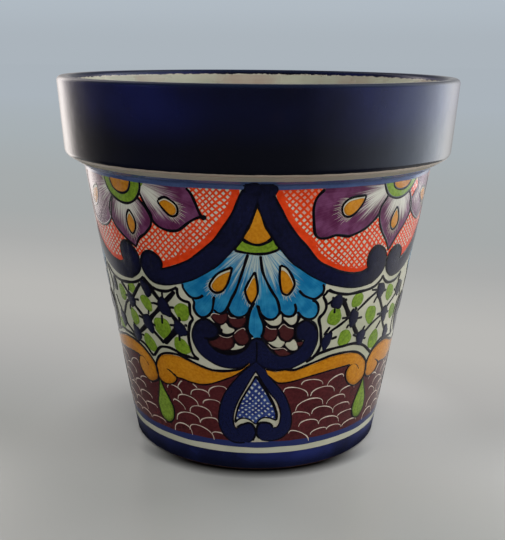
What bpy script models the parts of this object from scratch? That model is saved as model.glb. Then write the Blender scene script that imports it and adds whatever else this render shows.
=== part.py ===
"""Talavera planter: a glazed earthenware flower pot with a deep rim band and raised enamel painting.

Metres, +Z up. The origin is the centre of the ring that the pot stands on, and the front faces -Y.
Clay parts, coats and enamel strokes are separate solids, kept apart by a hair of clearance.
"""

from math import atan2, ceil, cos, pi, radians, sin, tan

import bpy
import bmesh
import numpy as np

# Overall sizes of the fired clay
CLAY_HEIGHT = 0.2811
RIM_RADIUS = 0.1509
FOOT_RADIUS = 0.0971
WALL_THICKNESS = 0.0090

# Floor and foot
FLOOR_THICKNESS = 0.0110
FOOT_RECESS = 0.0030
DRAIN_RADIUS = 0.0110
FOOT_CHAMFER = 0.0012

# Rim band: its depth, and how far its bottom edge stands out past the wall
BAND_DEPTH = 0.0545
BAND_OVERHANG = 0.0126
BAND_DRAFT = radians(4.2)
BAND_UNDERSIDE_SLOPE = radians(30.5)
BAND_THICKNESS = 0.0072
LIP_ROUND = 0.0026
ARRIS_ROUND = 0.0050
GROOVE_ROUND = 0.0025
FLOOR_CORNER_ROUND = 0.0030

# Coats and enamel
GAP = 0.0003
GLAZE = 0.0005
ENAMEL_EDGE = 0.0003
ENAMEL_RISE = 0.0008
RIM_GLAZE_INSIDE = 0.0025
FOOT_BARE = 0.0022
FOOT_BAND_TOP = 0.0152
WHITE_STRIPE = 0.0055
BASE_LINE_WIDTH = 0.0036
TOP_LINE_WIDTH = 0.0042
FIELD_MARGIN = 0.0004

# Painting: REPEATS panels round the pot, each with a left and a right half
REPEATS = 4
HALF_REPEAT = radians(360.0 / REPEATS / 2.0)

# Resolution
RING_STEPS = 48
ARC_STEPS = 2
BODY_STEP = 11.0
HEAD_STATIONS = 5
COLUMNS_PER_FEATHER = 4
FAN_ROWS = 3


def clear_scene():
    for scene_object in list(bpy.data.objects):
        bpy.data.objects.remove(scene_object, do_unlink=True)


def clay_material(name, colour, roughness):
    material = bpy.data.materials.new(name)
    material.use_nodes = True
    shader = material.node_tree.nodes["Principled BSDF"]
    shader.inputs["Base Color"].default_value = (*colour, 1.0)
    shader.inputs["Roughness"].default_value = roughness
    shader.inputs["Metallic"].default_value = 0.0
    return material


def add_object(name, mesh, collection, colour, roughness):
    """One named sub-part with its own material."""
    piece = bpy.data.objects.new(name, mesh)
    collection.objects.link(piece)
    mesh.materials.append(clay_material(name, colour, roughness))
    return piece


# Lines and profiles in the (radius, height) plane. The wall leans so that it meets the rim band above it.

BAND_BOTTOM = CLAY_HEIGHT - BAND_DEPTH
BAND_BOTTOM_RADIUS = RIM_RADIUS - BAND_DEPTH * tan(BAND_DRAFT)
WALL_LEAN = atan2(BAND_BOTTOM_RADIUS - BAND_OVERHANG - FOOT_RADIUS, BAND_BOTTOM)


def wall_radius(height):
    """Outer radius of the bare clay wall."""
    return FOOT_RADIUS + height * tan(WALL_LEAN)


def painted_radius(height):
    """Outer radius of the white ground, which the enamel sits on."""
    return wall_radius(height) + (GAP + GLAZE) / cos(WALL_LEAN)


def crossing(point_a, direction_a, point_b, direction_b):
    """Where two lines of the profile cross."""
    matrix = np.array([direction_a, [-direction_b[0], -direction_b[1]]], float).T
    along = np.linalg.solve(matrix, np.subtract(point_b, point_a))[0]
    return tuple(np.add(point_a, along * np.array(direction_a)))


def rounded(points, radii):
    """A polyline whose corners are replaced by arcs of the given radii (0 keeps the corner)."""
    line = [points[0]]
    for before, corner, after, radius in zip(points, points[1:], points[2:], radii):
        if radius == 0.0:
            line.append(corner)
            continue
        to_before = np.subtract(before, corner) / np.linalg.norm(np.subtract(before, corner))
        to_after = np.subtract(after, corner) / np.linalg.norm(np.subtract(after, corner))
        half = np.arccos(np.clip(to_before @ to_after, -1.0, 1.0)) / 2.0
        bisector = (to_before + to_after) / np.linalg.norm(to_before + to_after)
        centre = np.array(corner) + bisector * radius / sin(half)
        start = np.array(corner) + to_before * radius / tan(half) - centre
        end = np.array(corner) + to_after * radius / tan(half) - centre
        angle = atan2(start[1], start[0])
        turn = (atan2(end[1], end[0]) - angle + pi) % (2.0 * pi) - pi
        for step in range(ARC_STEPS + 1):
            at = angle + turn * step / ARC_STEPS
            line.append((centre[0] + radius * cos(at), centre[1] + radius * sin(at)))
    line.append(points[-1])
    return line


def lifted(line, distance):
    """The line moved off the clay by a distance. The free side is on the left of its run."""
    points = np.array(line, float)
    runs = np.diff(points, axis=0)
    runs /= np.linalg.norm(runs, axis=1)[:, None]
    normals = np.stack([-runs[:, 1], runs[:, 0]], axis=1)
    first = np.vstack([normals[:1], normals])
    second = np.vstack([normals, normals[-1:]])
    middle = first + second
    middle /= (1.0 + np.sum(first * second, axis=1))[:, None]
    return points + middle * distance


def turned(name, outline, collection, colour, roughness):
    """A closed outline that runs down its outer side, turned round the pot's axis with Screw."""
    mesh = bpy.data.meshes.new(name)
    corners = [(radius, 0.0, height) for radius, height in outline]
    edges = [(i, (i + 1) % len(corners)) for i in range(len(corners))]
    mesh.from_pydata(corners, edges, [])
    piece = add_object(name, mesh, collection, colour, roughness)
    screw = piece.modifiers.new("Turn", "SCREW")
    screw.axis = "Z"
    screw.angle = 2.0 * pi
    screw.steps = RING_STEPS
    screw.render_steps = RING_STEPS
    screw.use_merge_vertices = True
    screw.merge_threshold = 0.00001
    screw.use_smooth_shade = True
    return piece


def coat(name, line, collection, colour, roughness, lift=GAP):
    """A coat of glaze that follows a line of the clay's surface."""
    outline = [*lifted(line, lift + GLAZE), *lifted(line, lift)[::-1]]
    return turned(name, outline, collection, colour, roughness)


def wall_line(top, bottom):
    return [(wall_radius(top), top), (wall_radius(bottom), bottom)]


# Landmarks of the clay section

WALL_RUN = (tan(WALL_LEAN), 1.0)
UNDERSIDE_RUN = (cos(BAND_UNDERSIDE_SLOPE), sin(BAND_UNDERSIDE_SLOPE))
BAND_RUN = (tan(BAND_DRAFT), 1.0)
BAND_CORNER = (BAND_BOTTOM_RADIUS, BAND_BOTTOM)
GROOVE = crossing(BAND_CORNER, UNDERSIDE_RUN, (FOOT_RADIUS, 0.0), WALL_RUN)
SEAM = GROOVE[1]
INNER_WALL_FOOT = (FOOT_RADIUS - WALL_THICKNESS, 0.0)
SHELF_POINT = (BAND_CORNER[0] - BAND_THICKNESS, BAND_BOTTOM + BAND_THICKNESS)
INNER_GROOVE = crossing(SHELF_POINT, UNDERSIDE_RUN, INNER_WALL_FOOT, WALL_RUN)
INNER_CORNER = crossing(SHELF_POINT, UNDERSIDE_RUN, (RIM_RADIUS - BAND_THICKNESS, CLAY_HEIGHT), BAND_RUN)
INNER_LIP = (RIM_RADIUS - BAND_THICKNESS, CLAY_HEIGHT)
FLOOR_TOP = FOOT_RECESS + FLOOR_THICKNESS
COBALT_EDGE = CLAY_HEIGHT - LIP_ROUND - RIM_GLAZE_INSIDE


# The painted field, between the two washed blue lines

GROOVE_TURN = pi / 2.0 - BAND_UNDERSIDE_SLOPE - WALL_LEAN
TOP_LINE_TOP = SEAM - GROOVE_ROUND * tan(GROOVE_TURN / 2.0) * cos(WALL_LEAN)
TOP_LINE_BOTTOM = TOP_LINE_TOP - TOP_LINE_WIDTH
BASE_LINE_BOTTOM = FOOT_BAND_TOP + WHITE_STRIPE
BASE_LINE_TOP = BASE_LINE_BOTTOM + BASE_LINE_WIDTH
FIELD_BOTTOM = BASE_LINE_TOP + FIELD_MARGIN
FIELD_TOP = TOP_LINE_BOTTOM - FIELD_MARGIN


def inner_wall_radius(height):
    return INNER_WALL_FOOT[0] + height * tan(WALL_LEAN)


def inner_band_radius(height):
    return INNER_LIP[0] - (CLAY_HEIGHT - height) * tan(BAND_DRAFT)


# Clay


def make_clay(collection):
    fired = (0.52, 0.30, 0.20)
    wall_top = SEAM - GAP / 2.0
    wall = [
        (inner_wall_radius(wall_top), wall_top),
        (wall_radius(wall_top), wall_top),
        (wall_radius(FOOT_CHAMFER), FOOT_CHAMFER),
        (FOOT_RADIUS - FOOT_CHAMFER, 0.0),
        (INNER_WALL_FOOT[0], 0.0),
    ]
    turned("wall_shell", wall, collection, fired, 0.85)

    floor = [
        (DRAIN_RADIUS, FLOOR_TOP),
        (inner_wall_radius(FLOOR_TOP) - GAP, FLOOR_TOP),
        (inner_wall_radius(FOOT_RECESS) - GAP, FOOT_RECESS),
        (DRAIN_RADIUS, FOOT_RECESS),
    ]
    turned("floor_slab", floor, collection, fired, 0.85)

    band_seat = SEAM + GAP / 2.0
    outer = rounded(
        [INNER_CORNER, INNER_LIP, (RIM_RADIUS, CLAY_HEIGHT), BAND_CORNER, (wall_radius(band_seat), band_seat)],
        [LIP_ROUND, LIP_ROUND, ARRIS_ROUND],
    )
    inner = [(inner_wall_radius(band_seat), band_seat), INNER_GROOVE]
    turned("rim_collar", [*outer, *inner], collection, fired, 0.85)


# Coats


def make_coats(collection):
    cobalt = (0.010, 0.010, 0.055)
    cream = (0.66, 0.63, 0.50)
    lip = rounded(
        [
            (inner_band_radius(COBALT_EDGE), COBALT_EDGE),
            INNER_LIP,
            (RIM_RADIUS, CLAY_HEIGHT),
            BAND_CORNER,
            GROOVE,
        ],
        [LIP_ROUND, LIP_ROUND, ARRIS_ROUND],
    )
    coat("rim_glaze", lip[:-1], collection, cobalt, 0.10)

    arris_end = np.array(lip[-2])
    down_underside = np.array(GROOVE) - arris_end
    underside_start = arris_end + down_underside / np.linalg.norm(down_underside) * GAP
    ground_bottom = FOOT_BAND_TOP + GAP
    ground = rounded(
        [tuple(underside_start), GROOVE, (wall_radius(ground_bottom), ground_bottom)],
        [GROOVE_ROUND],
    )
    coat("ground_glaze", ground, collection, (0.68, 0.66, 0.55), 0.12)
    coat("foot_glaze", wall_line(FOOT_BAND_TOP, FOOT_BARE), collection, (0.012, 0.020, 0.130), 0.12)

    inside_top = COBALT_EDGE - GAP
    inside = rounded(
        [
            (DRAIN_RADIUS, FLOOR_TOP),
            (inner_wall_radius(FLOOR_TOP), FLOOR_TOP),
            INNER_GROOVE,
            INNER_CORNER,
            (inner_band_radius(inside_top), inside_top),
        ],
        [FLOOR_CORNER_ROUND, 0.0, 0.0],
    )
    coat("inner_glaze", inside, collection, cream, 0.35)

    washed_blue = (0.030, 0.075, 0.200)
    on_ground = GAP + GLAZE + GAP
    top_line = wall_line(TOP_LINE_TOP, TOP_LINE_BOTTOM)
    base_line = wall_line(BASE_LINE_TOP, BASE_LINE_BOTTOM)
    coat("top_line_enamel", top_line, collection, washed_blue, 0.12, on_ground)
    coat("base_line_enamel", base_line, collection, washed_blue, 0.12, on_ground)


# Enamel strokes
# Each is drawn flat on a half panel, in millimetres: x from the panel's axis, and height up the wall.
# The flat drawing, from DRAWN_BOTTOM to DRAWN_TOP, is stretched over the painted field and wrapped on the wall.

PANEL_HALF_WIDTH = 92.0
DRAWN_BOTTOM = 24.7
DRAWN_TOP = 211.6

# A stroke is its course, as (x, height, half width), and the round head that it ends in, as (x, height, radius)
SWAG = [
    (5.4, 210.0, 4.8),
    (7.2, 203.0, 5.2),
    (10.8, 193.0, 5.4),
    (16.8, 182.0, 5.5),
    (24.2, 171.5, 5.6),
    (34.5, 161.5, 5.7),
    (46.0, 153.6, 5.7),
    (58.0, 148.9, 5.5),
    (69.0, 147.6, 5.3),
    (78.0, 151.5, 6.2),
]
SWAG_HEAD = (82.2, 159.5, 9.0)
SCROLL = [
    (3.6, 107.0, 2.6),
    (5.0, 98.5, 3.8),
    (10.4, 91.8, 4.5),
    (19.6, 89.4, 4.5),
    (28.6, 91.6, 4.5),
    (35.6, 98.0, 4.4),
    (37.8, 106.0, 4.6),
]
SCROLL_HEAD = (33.4, 113.2, 6.4)
HEART = [
    (2.3, 84.2, 1.4),
    (7.0, 76.0, 3.2),
    (13.4, 65.0, 3.8),
    (19.0, 55.0, 4.0),
    (22.4, 45.5, 4.2),
    (21.4, 36.8, 4.6),
    (16.2, 31.6, 4.9),
]
HEART_HEAD = (8.6, 33.4, 7.2)
VINE = [
    (9.6, 82.2, 1.8),
    (19.6, 79.2, 4.4),
    (36.8, 80.4, 4.5),
    (54.2, 83.6, 4.5),
    (68.2, 85.0, 4.3),
    (79.0, 82.6, 4.3),
    (85.4, 77.0, 4.8),
]
VINE_HEAD = (82.0, 70.4, 8.2)
LEAF_DROP = [
    (0.0, 63.0, 0.7),
    (0.0, 56.0, 3.4),
    (0.0, 49.0, 6.2),
]
LEAF_DROP_HEAD = (0.0, 39.6, 8.0)
PETAL = [
    (0.0, 168.5, 0.8),
    (0.0, 174.0, 7.0),
    (0.0, 180.0, 12.0),
]
PETAL_HEAD = (0.0, 187.0, 14.2)
DROP = [
    (0.0, 125.2, 1.2),
    (0.0, 121.0, 3.2),
]
DROP_HEAD = (0.0, 115.2, 5.4)

# The feather fan, drawn the same way: its neck, how far its edges swing out, and how far its feathers reach
FAN_NECK_HEIGHT = 172.0
FAN_NECK_HALF_WIDTH = 9.0
FAN_HALF_OPENING = radians(50.0)
FEATHER_REACH = 46.0
FEATHER_NOTCH = 7.0
FEATHERS = 9


def smooth_course(controls):
    """A Catmull-Rom curve through the controls, finely divided."""
    controls = np.array(controls, float)
    padded = np.vstack([2 * controls[0] - controls[1], controls, 2 * controls[-1] - controls[-2]])
    t = np.linspace(0.0, 1.0, 16, endpoint=False)[:, None]
    runs = []
    for before, start, end, after in zip(padded, padded[1:], padded[2:], padded[3:]):
        runs.append(
            0.5 * (2 * start + (end - before) * t + (2 * before - 5 * start + 4 * end - after) * t**2
                   + (3 * start - before - 3 * end + after) * t**3)
        )
    return np.vstack([*runs, controls[-1]])


def stroke_stations(course, head):
    """Places, directions and half widths along a stroke: even on its body, close together round its head."""
    head_x, head_height, head_radius = head
    line = smooth_course([*course, (head_x, head_height, course[-1][2])])
    length = np.concatenate([[0.0], np.cumsum(np.hypot(*np.diff(line[:, :2], axis=0).T))])
    body_length = length[-1] - head_radius
    body = np.linspace(0.0, body_length, ceil(body_length / BODY_STEP) + 1)
    around_head = length[-1] - head_radius * np.cos(np.linspace(0.0, 0.93 * pi, HEAD_STATIONS + 1)[1:])
    along = np.concatenate([body, around_head])
    overrun = np.maximum(along - length[-1], 0.0)[:, None]
    last_run = (line[-1, :2] - line[-4, :2]) / np.linalg.norm(line[-1, :2] - line[-4, :2])
    place = np.stack([np.interp(along, length, line[:, i]) for i in (0, 1)], axis=1) + overrun * last_run
    run = np.gradient(place, along, axis=0)
    run /= np.linalg.norm(run, axis=1)[:, None]
    circle = np.sqrt(np.maximum(head_radius**2 - (along - length[-1]) ** 2, 0.0))
    body_width = np.where(along < length[-1], np.interp(along, length, line[:, 2]), 0.0)
    return place, run, np.maximum(circle, body_width)


def on_wall(x, drawn_height, axis_angle, lift):
    """A point of the flat drawing on the painted wall, lifted off it. Angle 0 faces -Y and grows towards +X."""
    share = (drawn_height - DRAWN_BOTTOM) / (DRAWN_TOP - DRAWN_BOTTOM)
    height = FIELD_BOTTOM + share * (FIELD_TOP - FIELD_BOTTOM)
    angle = axis_angle + x / PANEL_HALF_WIDTH * HALF_REPEAT
    radius = painted_radius(height) + lift / cos(WALL_LEAN)
    return np.stack([radius * np.sin(angle), -radius * np.cos(angle), height], axis=-1)


def closed_solid(name, rings, collection, colour):
    """Skins a row of rings of points. Each end is closed by a strip, from one side of its ring to the other."""
    stations, around = rings.shape[:2]
    shell = bmesh.new()
    points = [[shell.verts.new(point) for point in ring] for ring in rings]
    for row in range(stations - 1):
        for i in range(around):
            j = (i + 1) % around
            shell.faces.new((points[row][i], points[row][j], points[row + 1][j], points[row + 1][i]))
    for ring in (points[0], points[-1]):
        for i in range(around // 2 - 1):
            shell.faces.new((ring[i], ring[i + 1], ring[-2 - i], ring[-1 - i]))
    bmesh.ops.recalc_face_normals(shell, faces=shell.faces)
    bmesh.ops.triangulate(shell, faces=shell.faces)
    mesh = bpy.data.meshes.new(name)
    shell.to_mesh(mesh)
    shell.free()
    mesh.shade_smooth()
    mesh.set_sharp_from_angle(angle=radians(50.0))
    return add_object(name, mesh, collection, colour, 0.12)


# Across a stroke, over its dome from edge to edge and back underneath, as (share of half width, lift)
STROKE_SECTION = [
    (-1.0, GAP),
    (-1.0, GAP + ENAMEL_EDGE),
    (0.0, GAP + ENAMEL_RISE),
    (1.0, GAP + ENAMEL_EDGE),
    (1.0, GAP),
    (0.0, GAP),
]


def enamel_stroke(name, course, head, axis_angle, side, collection, colour):
    """A domed stroke of varying width that ends in a round head, wrapped on the leaning wall."""
    place, run, half_width = stroke_stations(course, head)
    normal = np.stack([-run[:, 1], run[:, 0]], axis=1)
    rings = []
    for share, lift in STROKE_SECTION:
        edge = place + share * half_width[:, None] * normal
        rings.append(on_wall(side * edge[:, 0], edge[:, 1], axis_angle, lift))
    return closed_solid(name, np.stack(rings, axis=1), collection, colour)


def feather_fan(name, axis_angle, collection, colour):
    """A fan of round-tipped feathers, each domed across, that spreads from a neck."""
    columns = FEATHERS * COLUMNS_PER_FEATHER
    share = np.linspace(-1.0, 1.0, columns + 1)
    across_feather = (np.arange(columns + 1) % COLUMNS_PER_FEATHER) / COLUMNS_PER_FEATHER * 2.0 - 1.0
    tip_fall = 1.0 - np.sqrt(1.0 - across_feather**2)
    reach = FEATHER_REACH - FEATHER_NOTCH * tip_fall
    dome = ENAMEL_EDGE + (ENAMEL_RISE - ENAMEL_EDGE) * (1.0 - across_feather**2)
    opening = share * FAN_HALF_OPENING
    rows = []
    for row in range(FAN_ROWS + 1):
        out = row / FAN_ROWS
        x = share * FAN_NECK_HALF_WIDTH + out * reach * np.sin(opening)
        rows.append((x, FAN_NECK_HEIGHT - out * reach * np.cos(opening)))
    top = [on_wall(x, height, axis_angle, GAP + dome) for x, height in rows]
    bottom = [on_wall(x, height, axis_angle, GAP) for x, height in rows[::-1]]
    return closed_solid(name, np.stack([*top, *bottom], axis=1), collection, colour)


def make_painting(collection):
    navy = (0.008, 0.008, 0.045)
    amber = (0.72, 0.30, 0.02)
    green = (0.26, 0.40, 0.03)
    turquoise = (0.02, 0.28, 0.52)
    purple = (0.12, 0.03, 0.13)
    for repeat in range(REPEATS):
        number = repeat + 1
        fan_axis = 2.0 * HALF_REPEAT * repeat
        flower_axis = fan_axis + HALF_REPEAT
        for side, side_name in ((-1, "left"), (1, "right")):
            place = (fan_axis, side, collection)
            enamel_stroke(f"swag_{side_name}_{number}", SWAG, SWAG_HEAD, *place, navy)
            enamel_stroke(f"scroll_{side_name}_{number}", SCROLL, SCROLL_HEAD, *place, navy)
            enamel_stroke(f"heart_{side_name}_{number}", HEART, HEART_HEAD, *place, navy)
            enamel_stroke(f"vine_{side_name}_{number}", VINE, VINE_HEAD, *place, amber)
        enamel_stroke(f"leaf_drop_{number}", LEAF_DROP, LEAF_DROP_HEAD, flower_axis, 1, collection, green)
        enamel_stroke(f"petal_{number}", PETAL, PETAL_HEAD, flower_axis, 1, collection, purple)
        feather_fan(f"feather_fan_{number}", fan_axis, collection, turquoise)
        enamel_stroke(f"fan_drop_{number}", DROP, DROP_HEAD, fan_axis, 1, collection, turquoise)


def main():
    clear_scene()
    planter = bpy.data.collections.new("talavera_planter")
    bpy.context.scene.collection.children.link(planter)
    make_clay(planter)
    make_coats(planter)
    make_painting(planter)


main()
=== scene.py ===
# %% [markdown]
# # A hand-painted talavera planter
# The real pot is red earthenware, dipped in a cream white glaze and painted over it with thick metal-oxide enamels.
# A black liner brush draws the pattern, broad brushes fill it, and one clear gloss covers everything after the firing.
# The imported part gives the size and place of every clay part, coat and stroke. This lesson draws the same pot
# again as fine surfaces: first the turned coats, then the painting as thin raised films, then the finishes and light.

from math import atan, atan2, cos, pi, radians, sin, tan

import bmesh
import bpy
import numpy as np
from mathutils import Matrix, Vector


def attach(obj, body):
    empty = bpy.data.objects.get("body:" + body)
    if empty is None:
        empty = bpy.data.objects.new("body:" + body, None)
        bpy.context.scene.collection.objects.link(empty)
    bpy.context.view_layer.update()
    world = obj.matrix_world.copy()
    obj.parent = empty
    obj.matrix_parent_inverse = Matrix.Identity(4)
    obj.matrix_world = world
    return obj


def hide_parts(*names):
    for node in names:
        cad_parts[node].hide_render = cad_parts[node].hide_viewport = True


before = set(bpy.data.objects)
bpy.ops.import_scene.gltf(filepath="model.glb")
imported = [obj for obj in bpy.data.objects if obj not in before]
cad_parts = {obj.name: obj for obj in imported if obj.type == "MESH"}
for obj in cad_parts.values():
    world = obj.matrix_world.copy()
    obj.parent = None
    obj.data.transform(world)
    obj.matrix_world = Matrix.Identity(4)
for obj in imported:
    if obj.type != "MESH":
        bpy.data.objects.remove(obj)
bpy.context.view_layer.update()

# %% [markdown]
# ## The pot's section
# A thrown or moulded pot is one curve turned round an axis. The wall is a straight cone, so that brush strokes lie on
# it well, and the rim band overhangs it. The clay's corners are written once, each coat is the same line moved off
# the clay by its own thickness, and rounded corners are true arcs.

# %% Sizes of the clay, in millimetres, and the wall that carries the painting
FOOT_RADIUS = 97.1
RIM_RADIUS = 150.9
CLAY_HEIGHT = 281.1
BAND_DEPTH = 54.5
BAND_OVERHANG = 12.6
BAND_DRAFT = radians(4.2)
UNDERSIDE_SLOPE = radians(30.5)
WALL_THICKNESS = 9.0
BAND_THICKNESS = 7.2
FLOOR_TOP = 14.0
DRAIN_RADIUS = 11.0
COAT = 0.8
BAND_ARRIS = 226.4

band_bottom = CLAY_HEIGHT - BAND_DEPTH
band_bottom_radius = RIM_RADIUS - BAND_DEPTH * tan(BAND_DRAFT)
wall_slope = (band_bottom_radius - BAND_OVERHANG - FOOT_RADIUS) / band_bottom
wall_lean = atan(wall_slope)
painted_foot_radius = FOOT_RADIUS + COAT / cos(wall_lean)
print("wall leans", round(wall_lean * 180 / pi, 2), "degrees")


def crossing(point_a, run_a, point_b, run_b):
    """Where two straight lines of the section cross: a point plus a share of its run, found from both lines at once."""
    matrix = np.array([run_a, [-run_b[0], -run_b[1]]], float).T
    share = np.linalg.solve(matrix, np.subtract(point_b, point_a))[0]
    return tuple(np.add(point_a, share * np.array(run_a)))


underside_run = (cos(UNDERSIDE_SLOPE), sin(UNDERSIDE_SLOPE))
groove = crossing((band_bottom_radius, band_bottom), underside_run, (FOOT_RADIUS, 0.0), (wall_slope, 1.0))
print("the wall meets the band's underside at", np.round(groove, 2))

# %% Rounding a corner and lifting a line off the clay


def rounded(points, radii, steps=8):
    """Each inner corner becomes an arc that touches both its sides: centre on the bisector, at radius over the sine."""
    line = [points[0]]
    for before, corner, after, radius in zip(points, points[1:], points[2:], radii):
        if radius == 0.0:
            line.append(corner)
            continue
        to_before = np.subtract(before, corner) / np.linalg.norm(np.subtract(before, corner))
        to_after = np.subtract(after, corner) / np.linalg.norm(np.subtract(after, corner))
        half = np.arccos(np.clip(to_before @ to_after, -1.0, 1.0)) / 2.0
        bisector = (to_before + to_after) / np.linalg.norm(to_before + to_after)
        centre = np.array(corner) + bisector * radius / sin(half)
        start = np.array(corner) + to_before * radius / tan(half) - centre
        end = np.array(corner) + to_after * radius / tan(half) - centre
        angle = atan2(start[1], start[0])
        turn = (atan2(end[1], end[0]) - angle + pi) % (2.0 * pi) - pi
        at = angle + turn * np.linspace(0.0, 1.0, steps + 1)
        line.extend(zip(centre[0] + radius * np.cos(at), centre[1] + radius * np.sin(at)))
    line.append(points[-1])
    return np.array(line, float)


def lifted(line, distance):
    """The line moved to its left by a distance, along the bisector of its two runs at each corner."""
    runs = np.diff(line, axis=0)
    runs = runs / np.linalg.norm(runs, axis=1)[:, None]
    normals = np.stack([-runs[:, 1], runs[:, 0]], axis=1)
    first, second = np.vstack([normals[:1], normals]), np.vstack([normals, normals[-1:]])
    return line + (first + second) / (1.0 + np.sum(first * second, axis=1))[:, None] * distance


def finer(line, step):
    """The same line with evenly spaced points added on its long straight runs."""
    line = np.array(line, float)
    length = np.concatenate([[0.0], np.cumsum(np.hypot(*np.diff(line, axis=0).T))])
    even = np.arange(0.0, length[-1], step)
    at = np.unique(np.round(np.concatenate([length, even]), 4))
    return np.stack([np.interp(at, length, line[:, i]) for i in (0, 1)], axis=1)


# %% [markdown]
# ## From arrays to a piece
# Every piece below is a grid of points worked out at once. A piece is a list of parts, each part being its points, its
# faces and two sets of brush coordinates. They are kept on the points as attributes: "flow" says how far along and
# across its own brush stroke a point lies, and "flat" says where it lies on the unrolled wall, in millimetres.

# %% Joining parts into one piece of the pot
POT = "root"


def into_scene(name, data):
    """An object for a mesh, a lamp or a camera, linked to the scene."""
    thing = bpy.data.objects.new(name, data)
    bpy.context.scene.collection.objects.link(thing)
    return thing


def join_parts(parts):
    """Stacks the parts' points and shifts each part's face numbers by the points that come before it."""
    points, flow, flat = (np.concatenate([part[key] for part in parts]) for key in ("points", "flow", "flat"))
    faces, before = [], 0
    for part in parts:
        for block in part["faces"]:
            faces.extend((np.asarray(block) + before).tolist())
        before += len(part["points"])
    return points, faces, flow, flat


def make_piece(name, parts, finish, replaced=(), sharp=50.0):
    """One object from its parts, at the origin, with its faces turned outwards."""
    points, faces, flow, flat = join_parts(parts)
    mesh = bpy.data.meshes.new(name)
    mesh.from_pydata((points / 1000.0).tolist(), [], faces)
    for key, values in (("flow", flow), ("flat", flat)):
        attribute = mesh.attributes.new(key, "FLOAT_VECTOR", "POINT")
        attribute.data.foreach_set("vector", values.astype(np.float32).ravel())
    shell = bmesh.new()
    shell.from_mesh(mesh)
    bmesh.ops.recalc_face_normals(shell, faces=shell.faces)
    shell.to_mesh(mesh)
    shell.free()
    mesh.shade_smooth()
    mesh.set_sharp_from_angle(angle=radians(sharp))
    mesh.materials.append(finish)
    piece = into_scene(name, mesh)
    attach(piece, POT)
    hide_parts(*replaced)
    print(name, "-", len(parts), "parts,", len(points), "points,", len(faces), "faces")
    return piece


# %% [markdown]
# ## Turned coats
# A coat is a closed outline carried round the axis. A hand-dipped glaze is never quite even, so the radius and the
# height wander by a tenth of a millimetre or two with a few slow waves round the pot.

# %% Carrying an outline round the pot
AROUND = 288


def turned(outline, waver=0.0, seed=0):
    """Radius and height of the outline, times the cosine and sine of the angle, with slow waves inwards."""
    outline = np.asarray(outline, float)
    angle = np.linspace(0.0, 2.0 * pi, AROUND, endpoint=False)
    random = np.random.default_rng(seed)
    waves = sum(
        random.uniform(0.3, 1.0) * np.cos(k * angle[:, None] + random.uniform(0.0, 2.0 * pi) + outline[:, 1] / 17.0)
        for k in (2, 3, 5, 8)
    )
    radius = outline[:, 0] - waver * (0.5 + waves / 6.0)
    height = outline[:, 1] + 0.0 * angle[:, None]
    points = np.stack([radius * np.sin(angle)[:, None], -radius * np.cos(angle)[:, None], height], axis=-1)
    length = np.concatenate([[0.0], np.cumsum(np.hypot(*np.diff(outline, axis=0).T))])
    along = length + 0.0 * angle[:, None]
    round_pot = angle[:, None] * 120.0 + 0.0 * along
    index = np.arange(AROUND * len(outline)).reshape(AROUND, len(outline))
    right, up = np.roll(index, -1, axis=0), np.roll(index, -1, axis=1)
    corner = np.roll(right, -1, axis=1)
    return {
        "points": points.reshape(-1, 3),
        "faces": [np.stack([index, right, corner, up], axis=-1).reshape(-1, 4)],
        "flow": np.stack([round_pot, along, 0.0 * along], axis=-1).reshape(-1, 3),
        "flat": np.stack([round_pot, height, 0.0 * along], axis=-1).reshape(-1, 3),
    }


def coat_outline(line, thickness, under=0.3):
    """A closed outline round a coat: its outer line down, and its inner line back up."""
    return np.vstack([lifted(line, under + thickness), lifted(line, under)[::-1]])


# %% [markdown]
# ## Places on the painted wall
# The painting is drawn on the unrolled wall. Across is counted in half degrees from the front, to the right, and up in
# millimetres from the table, so the drawing reads like a sheet of paper. One function rolls it onto the cone. The
# pattern has four panels. The front one is drawn as the photograph shows it, and the others repeat it with the small
# drift of a hand, because no two panels of a painted pot are the same.

# %% Rolling the drawing onto the cone
SUNK = 0.10
FULL_TURN = 720.0


def step_width(up):
    """Millimetres in one half degree round the painted wall, at a height."""
    return (painted_foot_radius + wall_slope * np.asarray(up, float)) * pi / 360.0


def hand_drift(across, up):
    """Slow waves round the pot, of half a millimetre. They start beyond the front, which is drawn as it was seen."""
    turn = np.radians(across / 2.0)
    from_front = np.abs((across - 2.5 + FULL_TURN / 2.0) % FULL_TURN - FULL_TURN / 2.0)
    away = np.clip((from_front - 160.0) / 30.0, 0.0, 1.0)
    away = away * away * (3.0 - 2.0 * away)
    sideways = 0.6 * np.sin(5.0 * turn + up / 30.0) + 0.5 * np.sin(9.0 * turn - up / 19.0 + 1.3)
    upward = 0.5 * np.sin(7.0 * turn + up / 25.0 + 0.7) + 0.4 * np.sin(11.0 * turn - up / 33.0)
    return across + away * sideways, up + away * upward * np.clip((217.0 - up) / 25.0, 0.0, 1.0)


def on_wall(across, up, lift):
    """A drawn place as a point. The wall is a cone up to the groove and the band's underside beyond it: the greater of
    the two radii, rounded where they meet. The lift is along the section's normal. Across turns it from the front."""
    across, up = hand_drift(np.asarray(across, float), np.asarray(up, float))
    angle = np.radians(across / 2.0)
    cone = painted_foot_radius + wall_slope * up
    underside = groove[0] + (up - groove[1] + COAT / cos(UNDERSIDE_SLOPE)) / tan(UNDERSIDE_SLOPE)
    apart = underside - cone
    size = np.sqrt(apart**2 + 0.45**2)
    slope = wall_slope + (1.0 / tan(UNDERSIDE_SLOPE) - wall_slope) * (1.0 + apart / size) / 2.0
    lift = lift / np.sqrt(1.0 + slope**2)
    radius = (cone + underside + size) / 2.0 + lift
    return np.stack([radius * np.sin(angle), -radius * np.cos(angle), up - lift * slope], axis=-1)


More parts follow.
